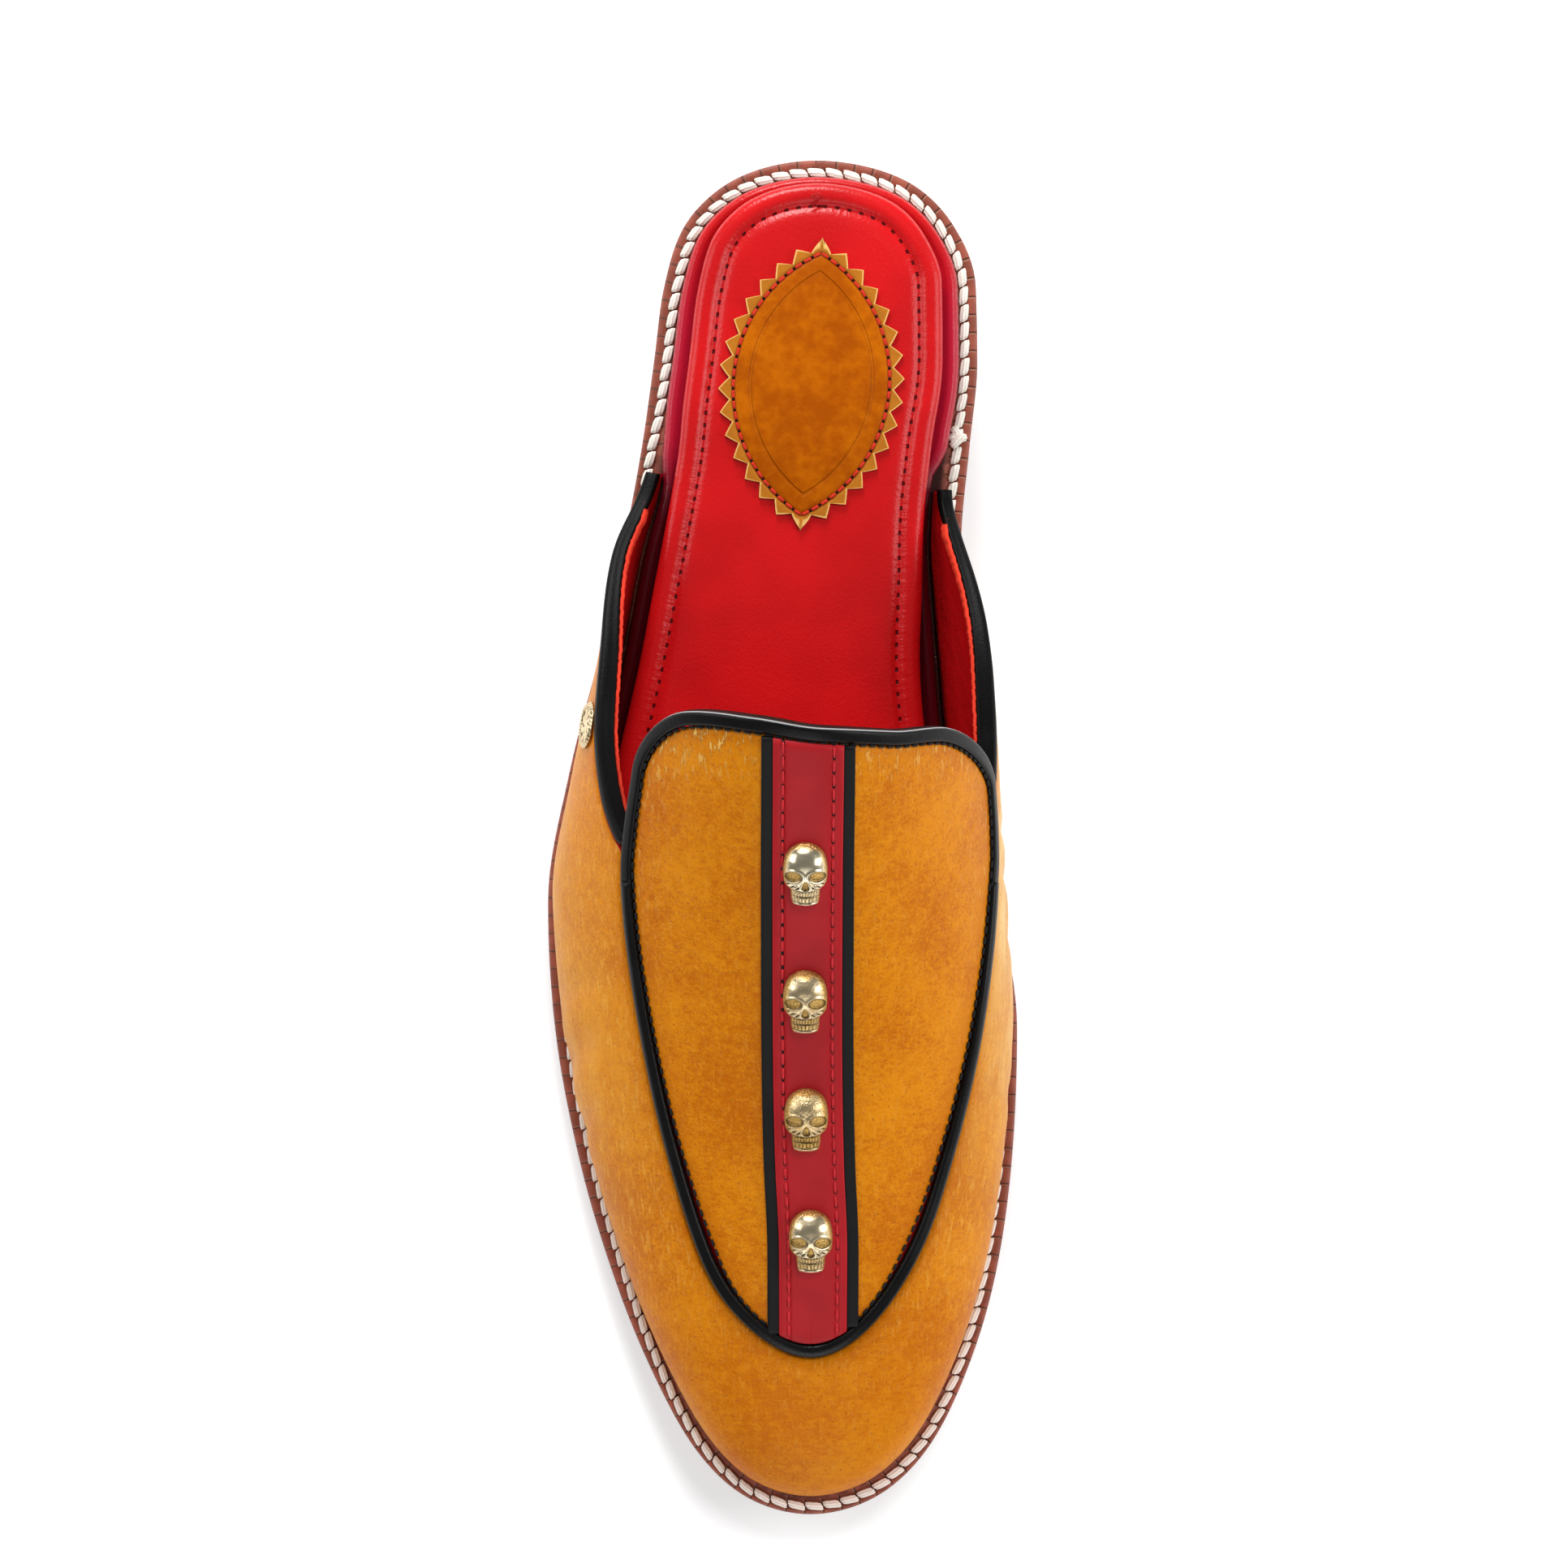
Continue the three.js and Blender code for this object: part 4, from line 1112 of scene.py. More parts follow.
def patch_leather(name):
    """Mustard patch: deeper and burnished inside its seam, with pale pinked edges."""
    paint = Paint(name)
    clouds = paint.noise(10, 3)
    spots = paint.noise(2.2, 3)
    inset = paint.field("inset")
    tone = (clouds * 0.6 + spots * 0.4).soft(0.36, 0.66)
    shade = paint.mix(tone, PATCH_DARK, PATCH_LIGHT)
    border = 1 - inset.soft(0.6, 1.2)
    shade = paint.mix(border * 0.5, shade, PATCH_BORDER)
    cut = 1 - paint.field("tooth").soft(0.05, 0.35)
    shade = paint.mix(cut * 0.8, shade, PATCH_CUT)
    line = between(inset, PATCH_LINE, 0.22, 0.25)
    grain = paint.cells(0.8) * 0.5 + paint.noise(0.5, 2) * 0.5
    groove = between(inset, PATCH_SEAM, 0.25, 0.4)
    shade = paint.mix(groove * 0.5, shade, PATCH_GROOVE)
    normal = paint.bump(1 - line, 0.22, paint.bump(grain + spots, 0.06))
    return paint.done(
        Base_Color=shade, Roughness=0.34 + spots * 0.15, Specular_IOR_Level=0.08, Normal=normal
    )


def welt_leather(name, colours, pitch):
    """Brown waxed welt, wheeled across at each stitch with a painted highlight on one edge of each notch,
    and painted shadow inside the shoe.
    """
    paint = Paint(name)
    clouds = paint.noise(4, 3)
    place = paint.field("along").over(pitch)
    inset = paint.field("inset")
    lip = inset.soft(0.02, 0.25)
    notch = (1 - between(place, 0.5, 0.42, 0.05)) * lip
    # Painted highlight on one edge of each notch
    ridge = between(place, 0.95, 0.01, 0.04) * lip
    shade = paint.mix(clouds.soft(0.35, 0.7), scaled(colours.brown, 0.7), colours.brown)
    shade = paint.mix(notch * 0.75, shade, WELT_NOTCH)
    shade = paint.mix(ridge * 0.6, shade, WELT_NOTCH_HIGHLIGHT)
    shade = paint.mix(inset.soft(4.6, 5.8) * 0.9, shade, WELT_SHADOW)
    fine = paint.noise(0.5, 3)
    normal = paint.bump(1 - notch, 0.35, paint.bump(fine, 0.06))
    return paint.done(
        Base_Color=shade, Roughness=0.45 + clouds * 0.15, Specular_IOR_Level=0.4, Normal=normal
    )


def sole_leather(name, tone, layers=0.0):
    """Waxed sole leather; layers gives the height of a stacked heel's lifts."""
    paint = Paint(name)
    clouds = paint.noise(7, 4)
    fibres = paint.noise(0.8, 3, (0.25, 0.25, 1))
    shade = paint.mix((clouds * 0.5 + fibres * 0.5).soft(0.35, 0.65), scaled(tone, 0.62), tone)
    normal = paint.bump(fibres, 0.05)
    if layers:
        height = paint.node("ShaderNodeSeparateXYZ", None, {0: paint.place()}, 2)
        joint = 1 - between(height.over(layers * MM), 0.5, 0.44, 0.05)
        shade = paint.mix(joint * 0.7, shade, LIFT_JOINT)
        normal = paint.bump(1 - joint, 0.12, normal)
    return paint.done(
        Base_Color=shade, Roughness=0.38 + clouds * 0.2, Specular_IOR_Level=0.4, Normal=normal
    )


def cast_gold(name, colours):
    """Pale cast metal, bright on the high spots, brass where worn and, as painted shade, round the skulls'
    rims and crowns, and darker in its recesses.
    """
    paint = Paint(name)
    pit = paint.field("pit")
    gilt = paint.field("gilt")
    stain = paint.noise(1.6, 3)
    fine = paint.noise(0.4, 2)
    worn_and_shaded = (gilt + stain.soft(0.5, 0.8) * 0.35).math("MINIMUM", 1.0)
    shade = paint.mix(worn_and_shaded, colours.gold, colours.brass)
    shade = paint.mix(fine.soft(0.5, 0.7) * gilt * 0.6, shade, colours.patina)
    shade = paint.mix(pit, shade, colours.patina)
    return paint.done(
        Base_Color=shade,
        Metallic=1.0,
        Roughness=0.18 + worn_and_shaded * 0.22 + stain * 0.08,
        Normal=paint.bump(fine * gilt * gilt * 3, 0.11),
    )


def rounded(half, low, high, power, count=20):
    """Profile of a band with rounded corners, from its half width and its lowest and highest step."""
    middle = (low + high) / 2
    tall = (high - low) / 2
    turns = np.linspace(0, TAU, count, endpoint=False)
    wave = [(math.cos(turn), math.sin(turn)) for turn in turns]
    bent = [(math.copysign(abs(a) ** power, a), math.copysign(abs(b) ** power, b)) for a, b in wave]
    return [(half * a, middle + tall * b) for a, b in bent]


PLATE_ROWS = 130
PLATE_COLUMNS = 14


def plate(body, rings, base, gauge):
    """A full-length layer of the sole from rings of (inset, rise), bottom ring first."""
    half = np.linspace(0, math.pi, PLATE_ROWS + 1)
    around = np.concatenate([half, TAU - half[-2::-1]])
    along = run_along(rim(around, gauge(around)))

    def seated(angle, inset, rise):
        points = rim(angle, inset(angle))
        points[..., 2] = base(station(points)) + rise
        return points

    marked = {"inset", "along"} <= set(body.fields)
    loops = np.stack([seated(around, inset, rise) for inset, rise in rings])
    insets = np.stack([inset(around) - rings[1][0](around) for inset, rise in rings])
    marks = {"inset": insets, "along": np.broadcast_to(along, insets.shape)} if marked else {}
    body.grid(loops, **marks)
    share = np.linspace(0, 1, PLATE_COLUMNS + 1)[None, :, None]
    for inset, rise in (rings[0], rings[-1]):
        left = seated(half, inset, rise)
        right = seated(TAU - half, inset, rise)
        cap = left[:, None, :] * (1 - share) + right[:, None, :] * share
        cap[..., 2] = base(station(cap)) + rise
        deep = np.full(cap.shape[:2], insets[-1].max())
        body.grid(cap, **({"inset": deep, "along": 0 * deep} if marked else {}))


def welt_foot(at):
    """Height of the welt's underside."""
    return seat(at) - WELT


def outsole_foot(at):
    """Height of the outsole's underside."""
    return np.maximum(welt_foot(at) - GAP - OUTSOLE, 0)


def wall_inset(angle):
    """Inset of the inside of the upper's wall, were it to stand straight."""
    return np.maximum(LIP, feather_inset(station(outline(angle))) + WALL + 2 * GAP)


def footbed_edge(angle):
    """Inset of the footbed, inside the upper's wall and fuller behind it."""
    leaning = tuck(angle) * smooth(*WRAP_LEAN, station(outline(angle)))
    return wall_inset(angle) + leaning - WRAP_FULLER * heel_part(angle)


def sock_edge(angle):
    """Inset of the padded sock, which comes nearer to the edge at the back of the heel."""
    turn = np.minimum(angle, TAU - angle)
    fuller = SOCK_FULLER * heel_part(angle) + SOCK_BACK * hump(turn, 0, SOCK_BACK_TURN)
    return wall_inset(angle) + INSOLE_INSET - fuller


def stitch_inset(angle):
    """Inset of the welt's stitches, which keep outside the upper."""
    beside = feather_inset(station(outline(angle))) + tuck(angle) - STITCH_CLEAR
    heel = heel_part(angle)
    toe = smooth(*TOE_PART, station(outline(angle)))
    return np.clip(beside, STITCH_LEAST, STITCH_MOST - toe) * (1 - heel) + STITCH_HEEL * heel


def heel_part(angle):
    """1 behind the wings, where the welt shows in full, and 0 beside the upper."""
    return 1 - smooth(*WING_PART, station(outline(angle)))


def fixed(value, start=None):
    """An inset that is the same all round, or the same step inside another."""
    if start is None:
        return lambda angle: np.full_like(angle, value)
    return lambda angle: start(angle) + value


class MULE_OT_sole(bpy.types.Operator):
    """Builds outsole, stacked heel and the stitched welt"""

    bl_idname = "mule.sole"
    bl_label = "Sole, heel and welt"

    def execute(self, context):
        sizes, colours = context.scene.mule_sizes, context.scene.mule_colours
        body = Body("sole_leather_outsole")
        rings = [(fixed(ring.inset), ring.rise) for ring in OUTSOLE_RINGS]
        plate(body, rings, outsole_foot, fixed(0.5))
        body.solid("sole_leather", [sole_leather("waxed_outsole", colours.sole)], "outsole")
        self.heel(colours)
        self.welt(sizes, colours)
        return {"FINISHED"}

    def heel(self, colours):
        """A block of stacked lifts with a bowed breast."""
        angle = np.linspace(0, angle_at(HEEL_LENGTH), 49)
        across = np.linspace(-1, 1, 25)

        def layer(inset, share):
            insets = np.full_like(angle, inset)
            left, right = rim(angle, insets), rim(TAU - angle, insets)
            part = (across[None, :, None] + 1) / 2
            points = left[:, None, :] * (1 - part) + right[:, None, :] * part
            points[-1, :, 1] += HEEL_BOW * (1 - across**2)
            points[..., 2] = share * (outsole_foot(station(points)) - GAP)
            return points

        body = Body("stacked_heel")
        body.slab(layer(HEEL_TOP_INSET, 1.0), layer(HEEL_FOOT_INSET, 0.0))
        body.solid("sole_leather", [sole_leather("stacked_lifts", colours.sole, HEEL_LIFT)], "heel")

    def welt(self, sizes, colours):
        """The welt with its channel, thick chain of stitches and end knot."""
        pitch = sizes.welt_pitch / MM
        body = Body("stitched_welt", "inset", "along")
        groove = sizes.welt_thread / MM / 2
        rings = [
            (fixed(0.4), 0),
            (fixed(0.0), 0.7),
            (fixed(0.0), WELT - 0.7),
            (fixed(0.2), WELT - 0.25),
            (fixed(0.55), WELT),
            (fixed(-groove - 0.1, stitch_inset), WELT),
            (fixed(-groove + 0.3, stitch_inset), WELT - CHANNEL_DEPTH),
            (fixed(groove, stitch_inset), WELT - CHANNEL_DEPTH),
            (fixed(groove + 0.5, stitch_inset), WELT),
            (fixed(6.0), WELT),
        ]
        plate(body, rings, welt_foot, stitch_inset)
        body.solid("welt_leather", [welt_leather("wheeled_welt", colours, pitch)], "welt")
        around = np.linspace(0, TAU, 1601)
        line = rim(around, stitch_inset(around))
        line[:, 2] = seat(station(line)) - 0.05
        path = flat_path(line)
        evenly = path.spaced(path.run[-1] / round(path.run[-1] / pitch))
        kept = Path(evenly.centre[:-1], evenly.up[:-1])
        stitches = Body("welt_stitches", "ply")
        long, wide = sizes.welt_stitch / MM, sizes.welt_thread / MM
        at = station(kept.centre)
        spans = ((0, FOREFOOT_FROM, 1), (FOREFOOT_FROM, LENGTH, FOREFOOT_THREAD))
        for tint, (low, high, part) in enumerate(spans):
            chosen = kept.only((at >= low) & (at < high))
            stitches.stitches(chosen, (long, wide * part, THREAD_HEIGHT), tint, slant=0.1, skew=0.5)
        knot = np.argmin(abs(at - KNOT_AT) + 100 * (kept.centre[:, 0] < 0))
        for turn, step in KNOT_TURNS:
            tied = kept.only(np.arange(len(kept.run)) == knot)
            tied.centre = tied.centre + [0, step, 0.6]
            stitches.stitches(tied, KNOT_SIZE, slant=turn)
        tints = {"cream_thread": colours.cream, "blush_thread": colours.blush}
        threads = [thread(name, tint, 0.7, thick=True) for name, tint in tints.items()]
        stitches.piece("welt_leather", threads)


class MULE_OT_footbed(bpy.types.Operator):
    """Builds the wrapped footbed, the padded sock and the heel patch"""

    bl_idname = "mule.footbed"
    bl_label = "Footbed and sock"

    def execute(self, context):
        sizes, colours = context.scene.mule_sizes, context.scene.mule_colours
        body = Body("footbed_wrap", "flank")
        rings = [(fixed(ring.inset, footbed_edge), ring.rise) for ring in WRAP_RINGS]
        plate(body, rings, footbed_foot, footbed_edge)
        body.close()
        for vert in body.mesh.verts:
            at = LENGTH / 2 - vert.co.y / MM
            # Wine on the wrap's sides is partly painted shade; behind the wings the field adds painted
            # shade
            wine = WINE_SHARE * smooth(*WINE_PART, at)
            vert[body.fields["flank"]] = wine + smooth(*SHADE_PART, at)
        leather = red_leather("wrap_leather", scaled(colours.red, 0.92), flanks=colours.wine)
        body.piece("red_leather", [leather], "footbed")

        bead = sizes.sock_bead / MM
        valley = sizes.sock_valley / MM
        crest = INSOLE + 0.1
        field = INSOLE - 0.1
        rings = [
            (0.6, 0),
            (0.0, 1.2),
            (0.0, 2.0),
            (0.2, 2.75),
            (0.65, 3.4),
            (1.3, 3.85),
            (2.1, crest),
            (3.0, crest),
            (bead - 1.5, crest - 0.25),
            (bead - 0.8, crest - 0.6),
            (bead - 0.35, field - valley + 0.1),
            (bead, field - valley),
            (bead + 0.35, field - valley + 0.1),
            (bead + 1.0, field - 0.5),
            (bead + 2.2, field - 0.12),
            (bead + 4.0, field),
            (bead + 8.0, field),
        ]
        body = Body("padded_sock", "inset", "along")
        seated = [(fixed(inset, sock_edge), rise) for inset, rise in rings]
        plate(body, seated, insole_foot, fixed(bead, sock_edge))
        leather = red_leather("sock_leather", colours.red, stitch=(bead, SOCK_PITCH))
        sock = body.solid("red_leather", [leather], "insole")
        self.patch(sizes)
        return {"FINISHED"}

    def patch(self, sizes):
        """The lens-shaped heel patch with pinked edges and a red seam."""
        step = np.linspace(-1, 1, 2 * PATCH_TEETH * PATCH_TOOTH_ROWS + 1)
        radius = (PATCH_HALF**2 + PATCH_WIDTH**2) / (2 * PATCH_WIDTH)
        swing = step * math.asin(PATCH_HALF / radius)
        lens = radius * np.cos(swing) - (radius - PATCH_WIDTH)
        phase = np.mod((step + 1) / 2 * PATCH_TEETH + 0.5, 1.0)
        tooth = PATCH_TOOTH * (1 - abs(2 * phase - 1))
        reach = lens + 0.05 + tooth * np.cos(swing) * np.clip(lens / 3, 0, 1)
        across = crowded(61)
        u = reach[:, None] * across[None, :]
        v = radius * np.sin(swing)
        along = v[:, None] + (tooth * np.sin(swing))[:, None] * across[None, :] ** 4
        along = along + np.where(abs(step) > 0.99, tooth * np.sign(step), 0)[:, None] * (1 - across**4)
        inset = radius - np.hypot(abs(u) + radius - PATCH_WIDTH, along)
        cut = (reach[:, None] - abs(u)) * 0.75

        def lying(side, up, lift):
            x = PATCH_X + side * math.cos(PATCH_TILT) + up * math.sin(PATCH_TILT)
            at = PATCH_AT + side * math.sin(PATCH_TILT) - up * math.cos(PATCH_TILT)
            return np.stack([x, LENGTH / 2 - at, insole_foot(at) + INSOLE + lift], -1)

        dome = PATCH_DOME * smooth(0, PATCH_DOME_RUN, inset) - 0.3 * hump(inset, PATCH_SEAM, 0.55)
        body = Body("heel_patch_leather", "inset", "tooth")
        face = lying(u, along, PATCH_THICKNESS + dome)
        body.slab(face, lying(u, along, -PATCH_SUNK), inset=inset, tooth=cut)
        body.solid("mustard_leather", [patch_leather("pinked_patch")], "heel_patch")

        seam = Body("patch_seam")
        for sign in (-1, 1):
            edge = lens - PATCH_SEAM * np.cos(swing)
            run = v - PATCH_SEAM * np.sin(swing)
            path = flat_path(lying(sign * edge, run, PATCH_THREAD_LIFT)[edge > 0.3])
            stitch = (1.8, 1.2 * sizes.seam_thread / MM, 0.6)
            seam.stitches(path.spaced(PATCH_PITCH, PATCH_SEAM_START), stitch)
            between_stitches = PATCH_SEAM_START + PATCH_PITCH / 2
            seam.stitches(path.spaced(PATCH_PITCH, between_stitches), NEEDLE_HOLE, 1)
        holes = plain_leather("seam_holes", SEAM_HOLE, 0.9)
        seam.piece("red_leather", [thread("red_thread", RED_THREAD, 0.4), holes])


def footbed_foot(at):
    """Height of the footbed's underside."""
    return seat(at) + GAP


def insole_foot(at):
    """Height of the sock's underside."""
    return footbed_foot(at) + FOOTBED + GAP


WING_ROWS = 70
FORE_ROWS = 90
WALL_COLUMNS = 24
ROOF_COLUMNS = 14


def walk_round():
    """Angles round the upper from wing to wing over the toe, and its two rows at the throat."""
    throat = feather_angle(THROAT, "lateral")
    fore = station(feather(np.linspace(throat, math.pi, FORE_ROWS + 1)))[:-1]
    sides = {}
    for side in SIDES:
        wing = np.linspace(WING[side], THROAT, WING_ROWS + 1)[:-1]
        sides[side] = feather_angle(np.concatenate([wing, fore]), side)
    angles = np.concatenate([sides["lateral"], [math.pi], sides["medial"][::-1]])
    return angles, WING_ROWS, len(angles) - WING_ROWS - 1


# Pale tint of the flanks, with a painted highlight on them: how far it fades up the wall, and the stations
# between which it shows
TintAndSheen = namedtuple("TintAndSheen", "strength low high start full fade end")
MEDIAL_TINT_AND_SHEEN = TintAndSheen(1, 0.72, 1.35, 78, 158, 152, 258)
LATERAL_TINT_AND_SHEEN = TintAndSheen(0.45, 0.2, 1.3, 90, 120, 205, 250)
RIM_TINT_AND_SHEEN = TintAndSheen(0.5, 0, 0.34, 110, 150, 272, 294)


def tint_and_sheen_share(tint_and_sheen, up, at):
    """How much the flanks' pale tint and painted highlight show at places up the wall."""
    shown = plateau(at, tint_and_sheen.start, tint_and_sheen.full, tint_and_sheen.fade, tint_and_sheen.end)
    return tint_and_sheen.strength * (1 - smooth(tint_and_sheen.low, tint_and_sheen.high, up)) * shown


class MULE_OT_upper(bpy.types.Operator):
    """Builds the hollow upper with its lining, and the lining's cut edge at the collar"""

    bl_idname = "mule.upper"
    bl_label = "Upper and lining"

    def execute(self, context):
        sizes, colours = context.scene.mule_sizes, context.scene.mule_colours
        angle, first, last = walk_round()
        top = wall_top(angle)
        rows = angle[:, None]
        side = top[:, None] * np.linspace(0, 1, WALL_COLUMNS + 1)[None, :]
        control = section(angle)
        arc = np.linalg.norm(np.diff(along_section(control[:, None], side), axis=1), axis=2)
        height = np.concatenate([0 * top[:, None], np.cumsum(arc, 1)], 1)
        edge = height[:, -1:] - height
        run = np.linspace(0, 1, len(angle))[:, None] * 520
        pucker = 0.07 * np.sin(run / 1.1) * np.exp(-edge / 5) * (edge > 0)
        up = side / np.maximum(top[:, None], 0.05)
        outer = skin(rows, side, pucker + creases(on_last(rows, side), up))
        inner = skin(rows, side, 0 * side - WALL)
        inwards = unit((control[:, 3] - control[:, 0]) * [1, 1, 0])
        inner[:, 0] = control[:, 0] + inwards * WALL
        fore = slice(first, last + 1)
        roof = top[fore, None] + (1 - top[fore, None]) * np.linspace(0, 1, ROOF_COLUMNS + 1)[None, :]
        shelf = skin(rows[fore], roof, 0 * roof - SHELF)
        lining = skin(rows[fore], roof, 0 * roof - WALL)
        at = station(control[:, 0])[:, None]
        inside = (angle > math.pi)[:, None]
        # Pale tint of the flanks, which is also a painted highlight on the wall's sides and along its foot
        flank = np.where(inside, tint_and_sheen_share(MEDIAL_TINT_AND_SHEEN, up, at), tint_and_sheen_share(LATERAL_TINT_AND_SHEEN, up, at))
        pale = np.maximum(flank, tint_and_sheen_share(RIM_TINT_AND_SHEEN, up, at))
        deep = smooth(232, 280, at) * (0.6 + 0.4 * (1 - smooth(0, 0.3, up)))
        marks = {"edge": edge, "pale": pale, "deep": deep, "crinkle": 0.25 * np.exp(-edge / 6)}

        body = Body("upper_leather", "edge", "pale", "deep", "crinkle")
        body.grid(outer, 0, **marks)
        body.grid(inner, 1)
        body.grid(shelf, 1)
        body.grid(lining, 1)
        body.grid(np.stack([outer[:, 0], inner[:, 0]]), 1)
        body.grid(np.stack([outer[fore, -1], shelf[:, 0]]), 0)
        for row in (0, -1):
            body.grid(np.stack([outer[row], inner[row]]), 1)
            body.grid(np.stack([shelf[row], lining[row]]), 1)
        for wing in (slice(0, first), slice(last + 1, None)):
            body.grid(np.stack([outer[wing, -1], inner[wing, -1]]), 1)
        leathers = [
            mustard_leather("upper_mustard", colours, flank=True, streaks=0.45),
            red_leather("lining_leather", scaled(colours.red, 0.9), wrinkles=0.35),
        ]
        body.solid("mustard_leather", leathers, "upper")

        edges = Body("lining_edges")
        width = sizes.lining_edge / MM
        for side_name in SIDES:
            path = collar_path(side_name)
            shown = (path.sink < LINING_SINK) & (path.run > LINING_START[0])
            ending = smooth(-LINING_END, 0, path.run - path.run[shown][-1])
            starting = 1 - smooth(*LINING_START, path.run)
            hidden = np.maximum(1.3 * ending, 1.9 * starting)
            reach = (BINDING_HALF + BINDING_STEP) * collar_spread(path)
            wide = reach + width / 2 - 0.1 - hidden
            wander = 1.7 * np.sin(0.63 * path.run)
            ragged = 0.07 * np.sin(2.1 * path.run + wander) + 0.06 * np.sin(4.7 * path.run + 2 * wander)
            centre = path.centre - path.across * (wide + ragged)[:, None]
            line = Path(centre[shown], path.up[shown])
            line.across = path.across[shown]
            edges.cord(line, rounded(width / 2, -1.8, BINDING_HEIGHT * 0.4, 0.6, 12))
        raw = plain_leather("raw_lining_edge", colours.raw_red, 0.7, 0.08, 0.75)
        edges.solid("red_leather", [raw])
        return {"FINISHED"}


# Soft troughs across the flanks, which lean towards the heel and reach from low to high up the wall
Crease = namedtuple("Crease", "at medial lean low high depth half")
CREASES = [
    Crease(196, False, 10, 0.1, 0.75, 0.85, 3.2),
    Crease(209, False, 14, 0.05, 0.6, 0.6, 2.8),
    Crease(183, False, 8, 0.25, 0.9, 0.45, 2.4),
    Crease(150, True, 9, 0.3, 0.95, 0.35, 1.8),
    Crease(160, True, 12, 0.25, 0.95, 0.45, 2.2),
    Crease(172, True, 14, 0.15, 0.85, 0.35, 2.4),
    Crease(204, True, 10, 0.1, 0.7, 0.3, 2.6),
]


def creases(places, up):
    """Depth of the flanks' creases at places of the wall, given how far up the wall they lie."""
    at = station(places)
    medial = places[..., 0] > ridge_x(np.minimum(at, FAN_PIVOT))
    depth = 0 * at
    for fold in CREASES:
        away = (at - fold.at + fold.lean * (up - 0.5)) / fold.half
        trough = hump(away, 0, 1) - 0.4 * hump(abs(away), 1.9, 1)
        reach = plateau(up, fold.low, fold.low + 0.2, fold.high - 0.2, fold.high)
        depth = depth - fold.depth * trough * reach * (medial == fold.medial)
    return depth


def collar_spread(path):
    """How much wider the collar's binding is folded inwards away from the wing's end."""
    return 1 + BINDING_SPREAD * smooth(*SPREAD_RUN, path.run)


def collar_path(side):
    """Path of the collar's cut edge from wing to throat, with how far it sinks under the apron."""
    at = np.linspace(WING[side], THROAT - 1, 180)
    angle = feather_angle(at, side)
    top = wall_top(angle)
    control = section(angle)
    up = unit(climb(control, top))
    edge = apron_edge(angle, 0.0)
    room = np.linalg.norm(along_section(control, edge) - along_section(control, top), axis=1)
    sink = np.clip(BINDING_HEIGHT + PIPE_HALF + 0.6 - room, 0, SINK_MOST)
    centre = skin(angle, top) + up * (GAP + BINDING_HEIGHT / 2 - 0.25 * sink)[:, None]
    centre -= skin_normal(angle, top) * (0.75 * sink)[:, None]
    path = Path(centre, up)
    sign = np.sign(np.sum(path.across * skin_normal(angle, top), axis=1))[:, None]
    path.across = path.across * sign
    path.sink = sink
    return path


class MULE_OT_apron(bpy.types.Operator):
    """Builds the apron panel that runs back as the tongue"""

    bl_idname = "mule.apron"
    bl_label = "Apron and tongue"

    def execute(self, context):
        colours = context.scene.mule_colours
        across = crowded(73)
        angle, share, edge = apron_grid(across, {"lateral": 99, "medial": 99}, -PIPE_CLEAR)
        flat = on_last(angle, share)
        at = station(flat)
        pillow = APRON_PROUD - 0.35 * np.exp(-edge / 1.3)
        taper = smooth(*TONGUE_TAPER, at)
        under = (TONGUE_THICKNESS - APRON_PROUD) * (1 - taper) + (SHELF - 1.5 * GAP) * taper
        x = flat[..., 0] - ridge_x(at)
        back = at - tongue_end(np.clip(x / APRON_HALF, -1, 1)) - PIPE_CLEAR
        crinkle = (1 - smooth(1, 13, back)) * (0.2 + 0.8 * (1 - smooth(-22, -8, x)))
        crinkle = crinkle + 0.45 * np.exp(-edge / 5) * (1 - smooth(150, 200, at))
        body = Body("apron_leather", "edge", "crinkle")
        top = skin(angle, share, pillow)
        body.slab(top, skin(angle, share, -under), (0, 1, 0), edge=edge, crinkle=crinkle)
        leathers = [
            mustard_leather("apron_mustard", colours, streaks=0.15),
            red_leather("tongue_lining", scaled(colours.red, 0.85)),
        ]
        body.solid("mustard_leather", leathers, "apron_tongue")
        return {"FINISHED"}


TONGUE_ROWS = 34
STRAIGHT_FROM = 164
STRAIGHT_ROWS = 24
FAN_ROWS = 80
SEAM_POINTS = 420


